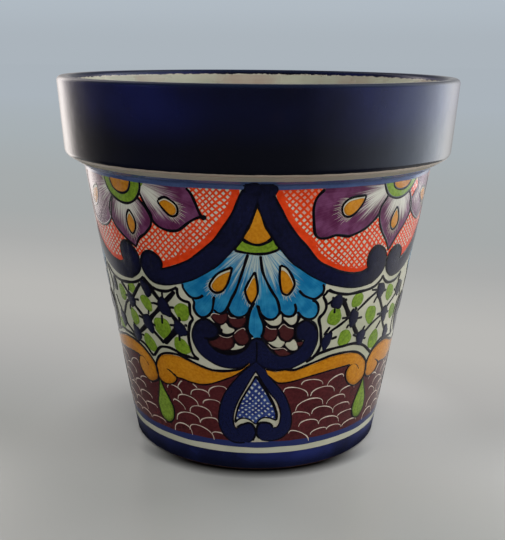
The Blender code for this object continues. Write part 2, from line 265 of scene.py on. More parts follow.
def film(across, up, lift, flow, wrap=False, ring=False):
    """A thin closed film from a grid of drawn places: the grid on top, the same one sunk below, and a wall round it.
    A measure that is the same along a row or a column is spread over the whole grid."""
    across, up, lift, *flow = np.broadcast_arrays(across, up, lift, *flow)
    rows, columns = across.shape
    count = rows * columns
    top = on_wall(across, up, lift).reshape(-1, 3)
    bottom = on_wall(across, up, -SUNK).reshape(-1, 3)
    index = np.arange(count).reshape(rows, columns)
    if wrap or ring:
        ahead = np.roll(index, -1, axis=1)
        cells = np.stack([index[:-1], ahead[:-1], ahead[1:], index[1:]], axis=-1).reshape(-1, 4)
        border = index[-1]
        start = np.stack([index[0], index[0] + count, ahead[0] + count, ahead[0]], axis=-1)
        caps = [start] if ring else [index[0][None, ::-1], index[0][None, :] + count]
    else:
        cells = np.stack([index[:-1, :-1], index[:-1, 1:], index[1:, 1:], index[1:, :-1]], axis=-1).reshape(-1, 4)
        border = np.concatenate([index[0], index[1:, -1], index[-1, -2::-1], index[-2:0:-1, 0]])
        caps = []
    following = np.roll(border, -1)
    rim = np.stack([border, border + count, following + count, following], axis=-1)
    flow = np.stack(flow, axis=-1).reshape(-1, 3)
    flat = np.stack([across * step_width(up), up, lift], axis=-1).reshape(-1, 3)
    return {
        "points": np.vstack([top, bottom]),
        "faces": [cells, cells[:, ::-1] + count, rim, *caps],
        "flow": np.tile(flow, (2, 1)),
        "flat": np.tile(flat, (2, 1)),
    }


# %% Smooth hand-drawn curves


def smooth(controls, step, closed=False):
    """A Catmull-Rom curve: each span leaves and arrives along the line between its neighbours. Evenly spaced."""
    controls = np.array(controls, float)
    if closed:
        padded = np.vstack([controls[-1:], controls, controls[:2]])
    else:
        padded = np.vstack([2 * controls[0] - controls[1], controls, 2 * controls[-1] - controls[-2]])
    before, start, end, after = padded[:-3], padded[1:-2], padded[2:-1], padded[3:]
    t = np.linspace(0.0, 1.0, 14, endpoint=False)[:, None, None]
    spans = 0.5 * (2 * start + (end - before) * t + (2 * before - 5 * start + 4 * end - after) * t**2
                   + (3 * start - before - 3 * end + after) * t**3)
    line = spans.transpose(1, 0, 2).reshape(-1, controls.shape[1])
    line = np.vstack([line, controls[:1] if closed else controls[-1:]])
    run = np.hypot(np.diff(line[:, 0]) * step_width(line[:-1, 1]), np.diff(line[:, 1]))
    length = np.concatenate([[0.0], np.cumsum(run)])
    count = max(int(length[-1] / step), 4) + 1
    at = np.linspace(0.0, length[-1], count)
    even = np.stack([np.interp(at, length, line[:, i]) for i in range(controls.shape[1])], axis=1)
    return even[:-1] if closed else even


# %% [markdown]
# ## Four kinds of mark
# A stroke is a line with a width that swells and thins. A daub is a filled shape round a middle, such as a petal or a
# leaf. A band is the broad paint between two drawn edges. These three are domed, because wet enamel draws up between
# its edges. The fourth, a field, is a thin flat wash.

# %% A stroke: a profile carried along a path. Widths are half widths, in millimetres
ACROSS_STROKE = np.array([-1.0, -0.9, -0.55, 0.0, 0.55, 0.9, 1.0])
LINE_WIDTH = 0.62
THICK = 1.0


def stroke(controls, lift=0.12, rise=0.16, step=1.3, pressure=0.16):
    """Across the path, places at plus or minus the half width. The height is a half ellipse, both ends are round."""
    line = smooth(controls, step)
    if line.shape[1] == 2:
        line = np.column_stack([line, np.full(len(line), LINE_WIDTH)])
    scale = step_width(line[:, 1])
    run = np.hypot(np.gradient(line[:, 0]) * scale, np.gradient(line[:, 1]))
    along = np.cumsum(run) - run[0]
    total = along[-1]
    end_width = np.minimum(np.array([line[0, 2], line[-1, 2]]), total / 3.0)
    arc = 1.0 - np.cos(np.linspace(0.0, pi / 2.0, 5))
    at = np.concatenate([end_width[0] * arc, along[(along > end_width[0]) & (along < total - end_width[1])],
                         total - end_width[1] * arc[::-1]])
    line = np.stack([np.interp(at, along, line[:, i]) for i in range(3)], axis=1)
    hand = 1.0 + pressure * np.sin(at * 0.33 + line[0, 0] * 1.7) * np.sin(at * 0.11 + line[0, 1])
    to_end = np.stack([at / end_width[0], (total - at) / end_width[1]]).clip(0.0, 1.0)
    width = (line[:, 2] * hand * np.sqrt(1.0 - (1.0 - to_end.min(axis=0)) ** 2)).clip(0.03)
    scale = step_width(line[:, 1])
    run_across, run_up = np.gradient(line[:, 0], at) * scale, np.gradient(line[:, 1], at)
    size = np.hypot(run_across, run_up).clip(1e-6)
    side = np.stack([-run_up / size / scale, run_across / size], axis=1)
    across = line[:, :1] + side[:, :1] * width[:, None] * ACROSS_STROKE
    up = line[:, 1:2] + side[:, 1:] * width[:, None] * ACROSS_STROKE
    height = lift + rise * np.sqrt(1.0 - ACROSS_STROKE**2) * (width / line[:, 2].clip(0.03)).clip(0.0, 1.0)[:, None]
    return film(across, up, height, (at[:, None], ACROSS_STROKE * width[:, None], np.abs(ACROSS_STROKE)))


def open_line(line, width=THICK, **laid):
    """A stroke of one width. With a list of widths it has one for each control point."""
    return stroke(np.column_stack([line, np.full(len(line), width)]), **laid)


def outlined(controls, width=THICK, **laid):
    """A closed outline as one stroke that ends where it began."""
    return open_line(np.vstack([controls, controls[:1]]), width, **laid)


# %% A daub: a filled shape round its middle
def daub(outline, middle=None, pole=None, lift=0.06, rise=0.10, step=1.3):
    """From the middle to the outline in shares that crowd at the edge. The height is a half ellipse of the share."""
    edge = smooth(outline, step, closed=True)
    middle = edge.mean(axis=0) if middle is None else np.array(middle, float)
    rings = max(5, int(len(edge) * step / 2.0 / pi / 1.6))
    pole = middle if pole is None else np.array(pole, float)
    share = np.sin(np.linspace(0.06, pi / 2.0, rings))[:, None]
    across = middle[0] + share * (edge[:, 0] - middle[0])
    up = middle[1] + share * (edge[:, 1] - middle[1])
    height = lift + rise * np.sqrt(1.0 - share**2).clip(0.0)
    out_across, out_up = (across - pole[0]) * step_width(up), up - pole[1]
    turn = np.arctan2(out_across, -out_up) * 40.0
    return film(across, up, height, (np.hypot(out_across, out_up), turn, share), wrap=True)


def oval(across, up, half_width, half_height, lean=0.0, count=14, wobble=0.06):
    """An ellipse as drawn by hand: its radius wanders by a few hundredths, and its top may lean sideways."""
    angle = np.linspace(0.0, 2.0 * pi, count, endpoint=False)
    size = 1.0 + wobble * np.sin(3.0 * angle + across) + 0.6 * wobble * np.sin(5.0 * angle + up)
    x, z = half_width * size * np.cos(angle), half_height * size * np.sin(angle)
    return np.stack([across + x + lean * z / half_height, up + z], axis=1)


# %% A band: broad paint between two drawn edges
def band(edge_a, edge_b, lift=0.16, rise=0.30, columns=13, step=1.6):
    """Each place is a share of the way from one edge to the other, at the same share of both edges' lengths."""
    lines = smooth(edge_a, step), smooth(edge_b, step)
    count = max(map(len, lines))
    share_along = np.linspace(0.0, 1.0, count)
    near, far = (np.stack([np.interp(share_along, np.linspace(0, 1, len(line)), axis) for axis in line.T], axis=1)
                 for line in lines)
    share = (1.0 - np.cos(np.linspace(0.0, pi, columns))) / 2.0
    apart = far - near
    across = near[:, :1] + apart[:, :1] * share
    up = near[:, 1:] + apart[:, 1:] * share
    sideways = 2.0 * share - 1.0
    height = lift + rise * np.sqrt((1.0 - sideways**2).clip(0.0))
    length = share_along[:, None] * count * step
    width = np.hypot(apart[:, 0] * step_width(near[:, 1]), apart[:, 1])
    return film(across, up, height, (length, sideways * width[:, None] / 2.0, np.abs(sideways)))


# %% A field: a wash between a lower and an upper edge
def field(lower, upper, left, right, lift=0.03, step=2.2, border=None):
    """Upright columns from the lower edge to the upper one. The third brush coordinate is the distance to a border."""
    columns = int((right - left) * 1.05 / step) + 2
    across = np.linspace(left, right, columns)
    low, high = smooth(lower, 1.0), smooth(upper, 1.0)
    low_up = np.interp(across, low[:, 0], low[:, 1])
    thin_high_and_painted_side_light = np.interp(across, high[:, 0], high[:, 1])
    rows = max(int((thin_high_and_painted_side_light - low_up).max() / step), 3) + 1
    share = np.linspace(0.0, 1.0, rows)[:, None]
    up = low_up + (thin_high_and_painted_side_light - low_up) * share
    line = smooth(lower if border is None else border, 1.5)
    sideways = (across[:, None] - line[:, 0]) * step_width(up)[..., None]
    gap = np.hypot(sideways, up[..., None] - line[:, 1]).min(axis=-1)
    return film(across, up, lift, (across * step_width(up), up, gap))


print("marks ready: stroke, daub, band, field")

# %% [markdown]
# ## Nodes that the finishes share
# Each effect that several finishes use is built once as a node group: the streaks that a loaded brush leaves, the
# ripple and pinholes of a poured gloss, a ragged colour edge, and the crossed lines of a brushed net.

# %% Building node trees in few words


def put(tree, kind, inputs=(), **settings):
    """Adds one node. Settings are its own fields. Inputs are pairs of a socket and a value, or a socket to join."""
    node = tree.nodes.new("ShaderNode" + kind)
    for key, value in settings.items():
        setattr(node, key, value)
    for key, value in dict(inputs).items():
        if isinstance(value, bpy.types.NodeSocket):
            tree.links.new(value, node.inputs[key])
        else:
            node.inputs[key].default_value = value
    return node


def maths(tree, operation, a, b=0.0, clamp=False):
    return put(tree, "Math", {0: a, 1: b}, operation=operation, use_clamp=clamp).outputs[0]


def times(tree, a, b):
    return maths(tree, "MULTIPLY", a, b)


def plus(tree, a, b):
    return maths(tree, "ADD", a, b)


def minus(tree, a, b):
    return maths(tree, "SUBTRACT", a, b)


def nudged(tree, value, by, amount):
    """A value pushed up or down by a noise that lies round one half."""
    return plus(tree, value, times(tree, minus(tree, by, 0.5), amount))


def axis_of(tree, vector, number):
    """One of a vector's three numbers, counted from 0."""
    return put(tree, "SeparateXYZ", {0: vector}).outputs[number]


def mixed(tree, share, a, b):
    """A colour that goes from a to b by a share."""
    node = put(tree, "Mix", data_type="RGBA", clamp_factor=True)
    for socket, value in ((node.inputs[0], share), (node.inputs[6], a), (node.inputs[7], b)):
        if isinstance(value, bpy.types.NodeSocket):
            tree.links.new(value, socket)
        else:
            socket.default_value = value
    return node.outputs[2]


def layered(tree, colour, *coats):
    """Colours laid one over the other. A coat is its share and its colour."""
    for share, over in coats:
        colour = mixed(tree, share, colour, over)
    return colour


def ramped(tree, value, low, high, to_low=0.0, to_high=1.0):
    """A smooth step of a value from low to high."""
    inputs = {0: value, 1: low, 2: high, 3: to_low, 4: to_high}
    return put(tree, "MapRange", inputs, interpolation_type="SMOOTHSTEP").outputs[0]


def object_place(tree):
    return put(tree, "TexCoord").outputs["Object"]


def noise(tree, scale, detail=2.0, vector=None):
    vector = object_place(tree) if vector is None else vector
    return put(tree, "TexNoise", {"Vector": vector, "Scale": scale, "Detail": detail}).outputs["Fac"]


def clouds(tree, scale, detail, low, high, to_low=0.0, to_high=1.0):
    """Noise as soft clouds: a smooth step from low to high."""
    return ramped(tree, noise(tree, scale, detail), low, high, to_low, to_high)


def spots(tree, scale, edge, core, few, channel=1):
    """Small round spots, in the few cells of a Voronoi texture whose own colour is above a level."""
    cells = put(tree, "TexVoronoi", {"Vector": object_place(tree), "Scale": scale}, feature="F1")
    own = put(tree, "SeparateColor", {0: cells.outputs["Color"]}).outputs[channel]
    return times(tree, ramped(tree, cells.outputs["Distance"], edge, core), ramped(tree, own, few, few + 0.04))


def new_group(name, inputs, outputs):
    """An empty shader node group with its named sockets: what it is given, and its result."""
    group = bpy.data.node_groups.new(name, "ShaderNodeTree")
    for label, start in inputs.items():
        kind = "NodeSocketVector" if start is None else "NodeSocketFloat"
        socket = group.interface.new_socket(label, in_out="INPUT", socket_type=kind)
        if start is not None:
            socket.default_value = start
    for label in outputs:
        group.interface.new_socket(label, in_out="OUTPUT", socket_type="NodeSocketFloat")
    return group, group.nodes.new("NodeGroupInput").outputs, group.nodes.new("NodeGroupOutput").inputs


# %% The streaks of a loaded brush
streaks, given, result = new_group("brush streaks", {"Flow": None, "Along": 0.06, "Across": 0.8}, ["Streak"])
parts_of_flow = put(streaks, "SeparateXYZ", {0: given["Flow"]})
stretched = put(streaks, "CombineXYZ", {
    0: times(streaks, parts_of_flow.outputs[0], given["Along"]),
    1: times(streaks, parts_of_flow.outputs[1], given["Across"]),
    2: 3.7,
})
hairs = put(streaks, "TexNoise", {"Vector": stretched.outputs[0], "Scale": 1.0, "Detail": 3.0, "Roughness": 0.6})
streaks.links.new(ramped(streaks, hairs.outputs["Fac"], 0.34, 0.66), result["Streak"])

# %% The skin of a poured gloss: slow ripple, orange peel and a few pinholes
gloss, given, result = new_group("gloss skin", {"Ripple": 1.0, "Pits": 1.0}, ["Height", "Roughness", "Pit"])
pit = times(gloss, spots(gloss, 150.0, 0.13, 0.03, 0.66, channel=0), given["Pits"])
height = times(gloss, noise(gloss, 62.0), given["Ripple"])
height = plus(gloss, height, times(gloss, noise(gloss, 620.0, 1.0), 0.07))
height = minus(gloss, height, times(gloss, pit, 0.35))
gloss.links.new(height, result["Height"])
gloss.links.new(clouds(gloss, 28.0, 4.0, 0.3, 0.75, 0.07, 0.19), result["Roughness"])
gloss.links.new(pit, result["Pit"])

# %% A ragged edge between two colours
ragged, given, result = new_group("ragged edge", {"Value": 0.0, "At": 0.5, "Soft": 0.1, "Wander": 0.3, "Size": 300.0},
                                  ["Mask"])
moved = nudged(ragged, given["Value"], noise(ragged, given["Size"], 3.0), given["Wander"])
low = minus(ragged, given["At"], given["Soft"])
high = plus(ragged, given["At"], given["Soft"])
ragged.links.new(ramped(ragged, moved, low, high), result["Mask"])

# %% Crossed brush lines, as a net of open squares
net, given, result = new_group("brushed net", {"Flat": None, "Pitch": 4.2, "Open": 0.55, "Wander": 1.0, "Lean": 0.78},
                               ["Open"])
slow = put(net, "TexNoise", {"Vector": given["Flat"], "Scale": 0.05, "Detail": 1.0})
shake = put(net, "VectorMath", {0: slow.outputs["Color"], 1: (0.5, 0.5, 0.5)}, operation="SUBTRACT").outputs[0]
shake = put(net, "VectorMath", {0: shake, "Scale": given["Wander"]}, operation="SCALE").outputs[0]
shaken = put(net, "VectorMath", {0: given["Flat"], 1: shake}, operation="ADD").outputs[0]
turn = put(net, "VectorRotate", {"Vector": shaken, "Angle": given["Lean"]}, rotation_type="Z_AXIS")
axes = put(net, "SeparateXYZ", {0: turn.outputs[0]})
fine = noise(net, 0.30, 2.0, given["Flat"])
opening = nudged(net, given["Open"], fine, 0.55)
squares = []
for axis in axes.outputs[:2]:
    cell = maths(net, "FRACT", maths(net, "DIVIDE", axis, given["Pitch"]))
    off_middle = times(net, maths(net, "ABSOLUTE", minus(net, cell, 0.5)), 2.0)
    squares.append(minus(net, opening, off_middle))
nearest = maths(net, "MINIMUM", squares[0], squares[1])
net.links.new(ramped(net, nearest, -0.10, 0.16), result["Open"])
print("node groups:", [group.name for group in bpy.data.node_groups])

# %% [markdown]
# ## Colours of the palette
# Talavera keeps to a few metal oxides: cobalt blue, copper green and turquoise, antimony yellow, iron orange and
# manganese purple, each with its own black outline. They are written as they look on the pot, and one function turns
# a screen colour into the light that Blender mixes.

# %% Palette


def shade(red, green, blue):
    """A screen colour from 0 to 255 as linear light, by the usual power of 2.4 with its straight foot."""
    screen = np.array([red, green, blue]) / 255.0
    light = np.where(screen <= 0.04045, screen / 12.92, ((screen + 0.055) / 1.055) ** 2.4)
    return (*light.tolist(), 1.0)


CREAM = shade(172, 170, 152)
CREAM_GREEN = shade(154, 155, 134)
MILK = shade(196, 196, 186)
COBALT_BLACK = shade(9, 10, 15)
COBALT_BLUE = shade(18, 22, 66)
NAVY = shade(13, 14, 27)
NAVY_THIN = shade(28, 31, 68)
WASH_BLUE = shade(50, 64, 102)
WASH_PALE = shade(74, 90, 128)
WASH_DEEP = shade(34, 42, 84)
INK = shade(7, 7, 10)
INK_BROWN = shade(22, 18, 26)
ORANGE = shade(200, 60, 22)
ORANGE_DEEP = shade(184, 48, 12)
BURGUNDY = shade(80, 34, 36)
BURGUNDY_DARK = shade(52, 20, 23)
AMBER = shade(186, 126, 28)
AMBER_DEEP = shade(152, 90, 8)
GREEN = shade(120, 148, 42)
GREEN_DEEP = shade(74, 100, 22)
PURPLE = shade(70, 25, 54)
PURPLE_THIN = shade(102, 58, 90)
TURQUOISE = shade(8, 86, 130)
TURQUOISE_THIN = shade(40, 120, 156)
CLAY = shade(164, 112, 84)
CLAY_DARK = shade(118, 76, 58)
PINK_BROWN = shade(132, 104, 92)

# %% Placing a group in a finish
GLOSS_DEPTH = 0.0006


def use(tree, group, **values):
    """One copy of a shared group, with this finish's own numbers. Names follow the group's sockets."""
    node = tree.nodes.new("ShaderNodeGroup")
    node.node_tree = group
    for key, value in values.items():
        if isinstance(value, bpy.types.NodeSocket):
            tree.links.new(value, node.inputs[key])
        else:
            node.inputs[key].default_value = value
    return node


def new_finish(name, roughness=0.5):
    """A material with its node tree and its Principled shader, set for a fired gloss."""
    finish = bpy.data.materials.new(name)
    finish.use_nodes = True
    shader = finish.node_tree.nodes["Principled BSDF"]
    shader.inputs["IOR"].default_value = 1.5
    shader.inputs["Roughness"].default_value = roughness
    return finish, finish.node_tree, shader


def give_gloss(tree, shader, colour, ripple=1.0, pits=1.0, extra=0.0, strength=0.5, rougher=0.0):
    """Joins a colour and the gloss skin to the shader: the skin's roughness, and its height through one Bump node."""
    skin = use(tree, gloss, Ripple=ripple, Pits=pits)
    height = plus(tree, skin.outputs["Height"], extra)
    bump = put(tree, "Bump", {"Height": height, "Strength": strength, "Distance": GLOSS_DEPTH})
    tree.links.new(colour, shader.inputs["Base Color"])
    tree.links.new(bump.outputs[0], shader.inputs["Normal"])
    tree.links.new(plus(tree, skin.outputs["Roughness"], rougher), shader.inputs["Roughness"])


def read(tree, key):
    return put(tree, "Attribute", attribute_name=key).outputs["Vector"]


def torn(tree, value, at, soft, wander, size):
    """A mask that rises where a value passes a level, along a ragged edge."""
    return use(tree, ragged, Value=value, At=at, Soft=soft, Wander=wander, Size=size).outputs["Mask"]


# %% [markdown]
# ## The finishes of the coats
# The cream ground is never one colour: it is greener where it pooled, pinker where it is thin over the red clay, with
# dark specks of iron. The cobalt band is nearly black where it is thick and blue where it is thin, and it is painted
# bluer towards its left and right sides as seen from the front, which is painted side light. At each border the brush
# left a ragged edge.

# %% Cream ground, pinker and rougher under the band
cream_ground, tree, shader = new_finish("cream tin ground")
up = axis_of(tree, read(tree, "flat"), 1)
under_band = torn(tree, up, 221.2, 0.5, 1.6, 160.0)
blue = times(tree, torn(tree, up, 215.0, 0.3, 1.0, 120.0), minus(tree, 1.0, torn(tree, up, 220.9, 0.3, 1.0, 90.0)))
colour = layered(
    tree, CREAM,
    (clouds(tree, 21.0, 4.0, 0.35, 0.68), CREAM_GREEN),
    (clouds(tree, 9.0, 2.0, 0.5, 0.75, 0.0, 0.35), MILK),
    (times(tree, spots(tree, 95.0, 0.075, 0.03, 0.72), 0.75), CLAY_DARK),
    (times(tree, under_band, 0.62), shade(164, 150, 136)),
    (times(tree, blue, 0.9), WASH_BLUE),
    (torn(tree, up, BAND_ARRIS, 0.12, 0.9, 110.0), COBALT_BLACK),
)
give_gloss(tree, shader, colour, 1.0, 1.0, strength=0.35, rougher=times(tree, under_band, 0.5))

# %% Cobalt of the band and the foot. The clay shows through at the lip's inner edge and at the band's lower arris
cobalt, tree, shader = new_finish("cobalt gloss")
up = axis_of(tree, read(tree, "flat"), 1)
# Bluer higher up the band, and bluer still towards the left and right as seen from the front: painted side light.
sideways = maths(tree, "ABSOLUTE", axis_of(tree, object_place(tree), 0))
thin_high_and_painted_side_light = times(tree, ramped(tree, up, 238.0, 270.0, 0.04, 0.5), ramped(tree, sideways, 0.02, 0.07, 0.6, 2.0))
colour = layered(
    tree, COBALT_BLACK,
    (times(tree, clouds(tree, 9.0, 5.0, 0.32, 0.64, 0.25, 1.0), thin_high_and_painted_side_light), COBALT_BLUE),
    (ramped(tree, up, 279.2, 280.6, 0.0, 0.8), shade(16, 24, 42)),
    (clouds(tree, 33.0, 3.0, 0.6, 0.8, 0.0, 0.25), INK_BROWN),
)
from_inner_edge = axis_of(tree, read(tree, "flow"), 1)
colour = mixed(tree, torn(tree, from_inner_edge, 2.1, 0.25, 3.2, 190.0), shade(160, 154, 138), colour)
colour = mixed(tree, torn(tree, up, BAND_ARRIS, 0.12, 0.9, 110.0), shade(164, 150, 136), colour)
give_gloss(tree, shader, colour, 0.7, 0.8, strength=0.35, rougher=0.05)

foot_cobalt, tree, shader = new_finish("cobalt foot band")
up = axis_of(tree, read(tree, "flat"), 1)
colour = layered(tree, shade(14, 18, 48), (clouds(tree, 26.0, 4.0, 0.35, 0.7), shade(28, 36, 86)),
                 (ramped(tree, up, 13.0, 3.0, 0.0, 0.7), COBALT_BLACK))
give_gloss(tree, shader, colour, 1.0, 1.0, strength=0.4)

# %% Cream wash inside, thin and smudged
inside_cream, tree, shader = new_finish("cream inside wash")
up = axis_of(tree, read(tree, "flat"), 1)
rings = noise(tree, 1.0, 2.0, put(tree, "CombineXYZ", {0: times(tree, up, 0.35)}).outputs[0])
colour = layered(
    tree, shade(158, 159, 140),
    (clouds(tree, 16.0, 4.0, 0.35, 0.7), shade(130, 133, 116)),
    (clouds(tree, 24.0, 6.0, 0.42, 0.70, 0.0, 0.8), PINK_BROWN),
    (ramped(tree, rings, 0.4, 0.7, 0.0, 0.30), CREAM),
    (spots(tree, 130.0, 0.14, 0.05, 0.62), shade(60, 46, 40)),
    (ramped(tree, up, 262.0, 276.0, 0.0, 0.25), shade(156, 152, 140)),
)
give_gloss(tree, shader, colour, 1.4, 1.0, strength=0.5, rougher=0.16)

# %% Bare clay
fired_clay, tree, shader = new_finish("fired clay", 0.85)
sand = noise(tree, 900.0, 3.0)
colour = layered(
    tree, CLAY,
    (clouds(tree, 40.0, 5.0, 0.3, 0.7), CLAY_DARK),
    (ramped(tree, sand, 0.6, 0.7, 0.0, 0.5), shade(196, 160, 130)),
    # Near black brown in the lowest few millimetres: painted shade where the foot stands on the table.
    (ramped(tree, axis_of(tree, object_place(tree), 2), 0.004, 0.002, 0.0, 0.9), shade(52, 34, 28)),
)
tree.links.new(colour, shader.inputs["Base Color"])
bump = put(tree, "Bump", {"Height": sand, "Strength": 0.5, "Distance": 0.0004})
tree.links.new(bump.outputs[0], shader.inputs["Normal"])
print("coat finishes ready")

# %% [markdown]
# ## The finishes of the brush marks
# An enamel mark has streaks along the brush, pigment that gathers at its edge, and the same clear gloss on top. The
# petals and the fan are loaded with colour on one side only, so they fade into white along the stroke.

# %% One enamel, from its deep and its thin colour


def enamel(name, deep, thin, along=0.07, across=0.9, edge=0.80, edge_share=0.55, edge_colour=INK, cover=1.0, lump=0.15,
           streaky=0.25):
    """Streaks choose between the deep and the thin colour, and the outer share of the mark darkens."""
    finish, tree, shader = new_finish(name)
    flow = read(tree, "flow")
    streak = use(tree, streaks, Flow=flow, Along=along, Across=across).outputs["Streak"]
    cloud = clouds(tree, 48.0, 3.0, 0.3, 0.72)
    grain = clouds(tree, 520.0, 2.0, 0.3, 0.7)
    share = plus(tree, times(tree, streak, streaky), times(tree, cloud, 0.30))
    share = plus(tree, share, times(tree, grain, 0.70 - streaky))
    pooled = torn(tree, axis_of(tree, flow, 2), edge, 0.10, 0.30, 420.0)
    colour = layered(tree, deep, (times(tree, share, cover), thin), (times(tree, pooled, edge_share), edge_colour))
    give_gloss(tree, shader, colour, 0.5, 0.6, extra=times(tree, streak, lump), strength=0.4)
    return finish


def change_low_down(finish, high, low, colour, most=1.0):
    """Mixes another colour into a finish from one height down to another."""
    tree, shader = finish.node_tree, finish.node_tree.nodes["Principled BSDF"]
    share = ramped(tree, axis_of(tree, read(tree, "flat"), 1), high, low, 0.0, most)
    painted = shader.inputs["Base Color"].links[0].from_socket
    tree.links.new(mixed(tree, share, painted, colour), shader.inputs["Base Color"])


navy_paint = enamel("navy enamel", NAVY, NAVY_THIN, along=0.04, across=0.3, cover=0.42, edge=0.86, edge_share=0.8)
change_low_down(navy_paint, 125.0, 70.0, shade(20, 25, 60), 0.5)
amber_paint = enamel("amber enamel", AMBER_DEEP, AMBER, edge=0.86, edge_share=0.45, edge_colour=shade(96, 54, 12))
green_paint = enamel("green enamel", GREEN_DEEP, GREEN, across=0.6, edge=0.90, edge_share=0.25,
                     edge_colour=shade(50, 66, 16))
leaf_paint = enamel("leaf green enamel", shade(70, 92, 24), shade(124, 150, 52), edge=0.86,
                    edge_colour=shade(34, 46, 12))
ink_paint = enamel("black outline", INK, INK_BROWN, along=0.12, across=1.2, cover=0.5, edge=2.0)
cream_paint = enamel("cream reserve line", CREAM, CREAM_GREEN, edge=0.9, edge_share=0.35, edge_colour=PINK_BROWN)
wash_paint = enamel("washed blue line", WASH_BLUE, WASH_PALE, along=0.03, across=0.9, edge=2.0, streaky=0.5)
change_low_down(wash_paint, 120.0, 60.0, WASH_DEEP)
scale_paint = enamel("scale line", shade(196, 186, 170), shade(160, 142, 130), along=0.3, across=1.5, edge=0.9,
                     edge_share=0.5, edge_colour=BURGUNDY)
burgundy_paint = enamel("burgundy wash", BURGUNDY_DARK, BURGUNDY, along=0.10, across=0.16, edge=900.0)
burgundy_daub = enamel("burgundy daub", BURGUNDY_DARK, shade(70, 34, 33), edge=0.85)


# %% Paint that fades from white, and the orange net


def fading(name, deep, thin, near, far, spread, rim, white=MILK):
    """White near the mark's pole and colour beyond. The distance is pushed by streaks, and by the mark's own edge."""
    finish, tree, shader = new_finish(name)
    flow = read(tree, "flow")
    places = put(tree, "SeparateXYZ", {0: flow})
    broad = use(tree, streaks, Flow=flow, Along=0.03, Across=0.45).outputs["Streak"]
    hairs = use(tree, streaks, Flow=flow, Along=0.05, Across=2.2).outputs["Streak"]
    pushed = nudged(tree, nudged(tree, places.outputs[0], broad, spread), hairs, spread * 0.8)
    pushed = plus(tree, pushed, ramped(tree, places.outputs[2], 0.45, 1.0, 0.0, rim))
    share = ramped(tree, pushed, near, far)
    cloud = clouds(tree, 110.0, 3.0, 0.35, 0.7)
    body = mixed(tree, plus(tree, times(tree, cloud, 0.7), times(tree, hairs, 0.3)), deep, thin)
    give_gloss(tree, shader, mixed(tree, share, white, body), 0.5, 0.6, extra=times(tree, hairs, 0.15), strength=0.35)
    return finish


purple_paint = fading("purple enamel", PURPLE, PURPLE_THIN, 12.0, 35.0, 11.0, 14.0, shade(186, 186, 174))
turquoise_paint = fading("turquoise enamel", TURQUOISE, TURQUOISE_THIN, 12.0, 36.0, 20.0, 8.0, shade(158, 168, 158))

orange_net, tree, shader = new_finish("orange net")
flow = put(tree, "SeparateXYZ", {0: read(tree, "flow")})
squares = use(tree, net, Flat=read(tree, "flat"), Pitch=3.35, Open=0.58, Wander=5.0).outputs["Open"]
inside_border = torn(tree, flow.outputs[2], 5.0, 0.5, 3.4, 200.0)
smeared = clouds(tree, 34.0, 3.0, 0.34, 0.50, 0.45, 1.0)
share = times(tree, times(tree, squares, inside_border), smeared)
body = mixed(tree, clouds(tree, 190.0, 3.0, 0.35, 0.65), ORANGE_DEEP, ORANGE)
give_gloss(tree, shader, mixed(tree, share, body, CREAM), 0.6, 0.8, extra=times(tree, share, -0.35), strength=0.45)

heart_net, tree, shader = new_finish("heart hatch")
squares = use(tree, net, Flat=read(tree, "flat"), Pitch=3.3, Open=0.44, Wander=7.0).outputs["Open"]
body = mixed(tree, clouds(tree, 160.0, 3.0, 0.4, 0.7), shade(26, 38, 92), shade(52, 70, 120))
colour = mixed(tree, squares, body, shade(168, 172, 168))
give_gloss(tree, shader, colour, 0.6, 0.8, extra=times(tree, squares, -0.35), strength=0.45)
print("materials:", len(bpy.data.materials))

# %% [markdown]
# ## The clay and its coats
# Bare clay shows at the foot and through the drain hole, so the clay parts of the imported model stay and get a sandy
# finish. Each coat is drawn again with fine steps, because a glossy surface shows every facet in its reflections.

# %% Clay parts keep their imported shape
for node in ("wall_shell", "floor_slab", "rim_collar"):
    clay_part = bpy.data.objects[node]
    clay_part.data.materials.clear()
    clay_part.data.materials.append(fired_clay)


# %% Lines of the clay that the coats follow
def wall_line(top, bottom):
    return finer([(FOOT_RADIUS + wall_slope * up, up) for up in (top, bottom)], 4.0)


inner_run = (wall_slope, 1.0)
inner_foot = (FOOT_RADIUS - WALL_THICKNESS, 0.0)
shelf = (band_bottom_radius - BAND_THICKNESS, band_bottom + BAND_THICKNESS)
inner_lip = (RIM_RADIUS - BAND_THICKNESS, CLAY_HEIGHT)
inner_groove = crossing(shelf, underside_run, inner_foot, inner_run)
inner_corner = crossing(shelf, underside_run, inner_lip, (tan(BAND_DRAFT), 1.0))
cobalt_edge = CLAY_HEIGHT - 5.1
edge_radius = inner_lip[0] - (CLAY_HEIGHT - cobalt_edge) * tan(BAND_DRAFT)
band_line = rounded(
    [(edge_radius, cobalt_edge), inner_lip, (RIM_RADIUS, CLAY_HEIGHT), (band_bottom_radius, band_bottom), groove],
    [2.6, 2.6, 5.0],
)[:-1]
start = band_line[-1] + np.array(underside_run) * -0.3
ground_line = rounded([tuple(start), groove, (FOOT_RADIUS + wall_slope * 15.5, 15.5)], [2.5])
floor_corner = (inner_foot[0] + wall_slope * FLOOR_TOP, FLOOR_TOP)
inside_line = rounded(
    [(DRAIN_RADIUS, FLOOR_TOP), floor_corner, inner_groove, inner_corner,
     (edge_radius + 1.4 * tan(BAND_DRAFT), cobalt_edge + 1.4)],
    [3.0, 4.0, 4.0],
)

# %% The four coats: (name, line, thickness, waver, finish, slot, replaced node)
COATS = [
    ("band_glaze", finer(band_line, 2.5), 0.5, 0.10, cobalt, "cobalt_glaze", "rim_glaze"),
    ("white_ground", finer(ground_line, 4.0), 0.5, 0.06, cream_ground, "tin_ground", "ground_glaze"),
    ("foot_band", wall_line(15.2, 2.2), 0.5, 0.06, foot_cobalt, "cobalt_glaze", "foot_glaze"),
    ("inside_wash", finer(inside_line, 4.0), 0.62, 0.0, inside_cream, "inside_wash", "inner_glaze"),
]
for seed, (name, line, thickness, waver, finish, slot, node) in enumerate(COATS, 1):
    make_piece(name, [turned(coat_outline(line, thickness), waver, seed)], finish, [node])

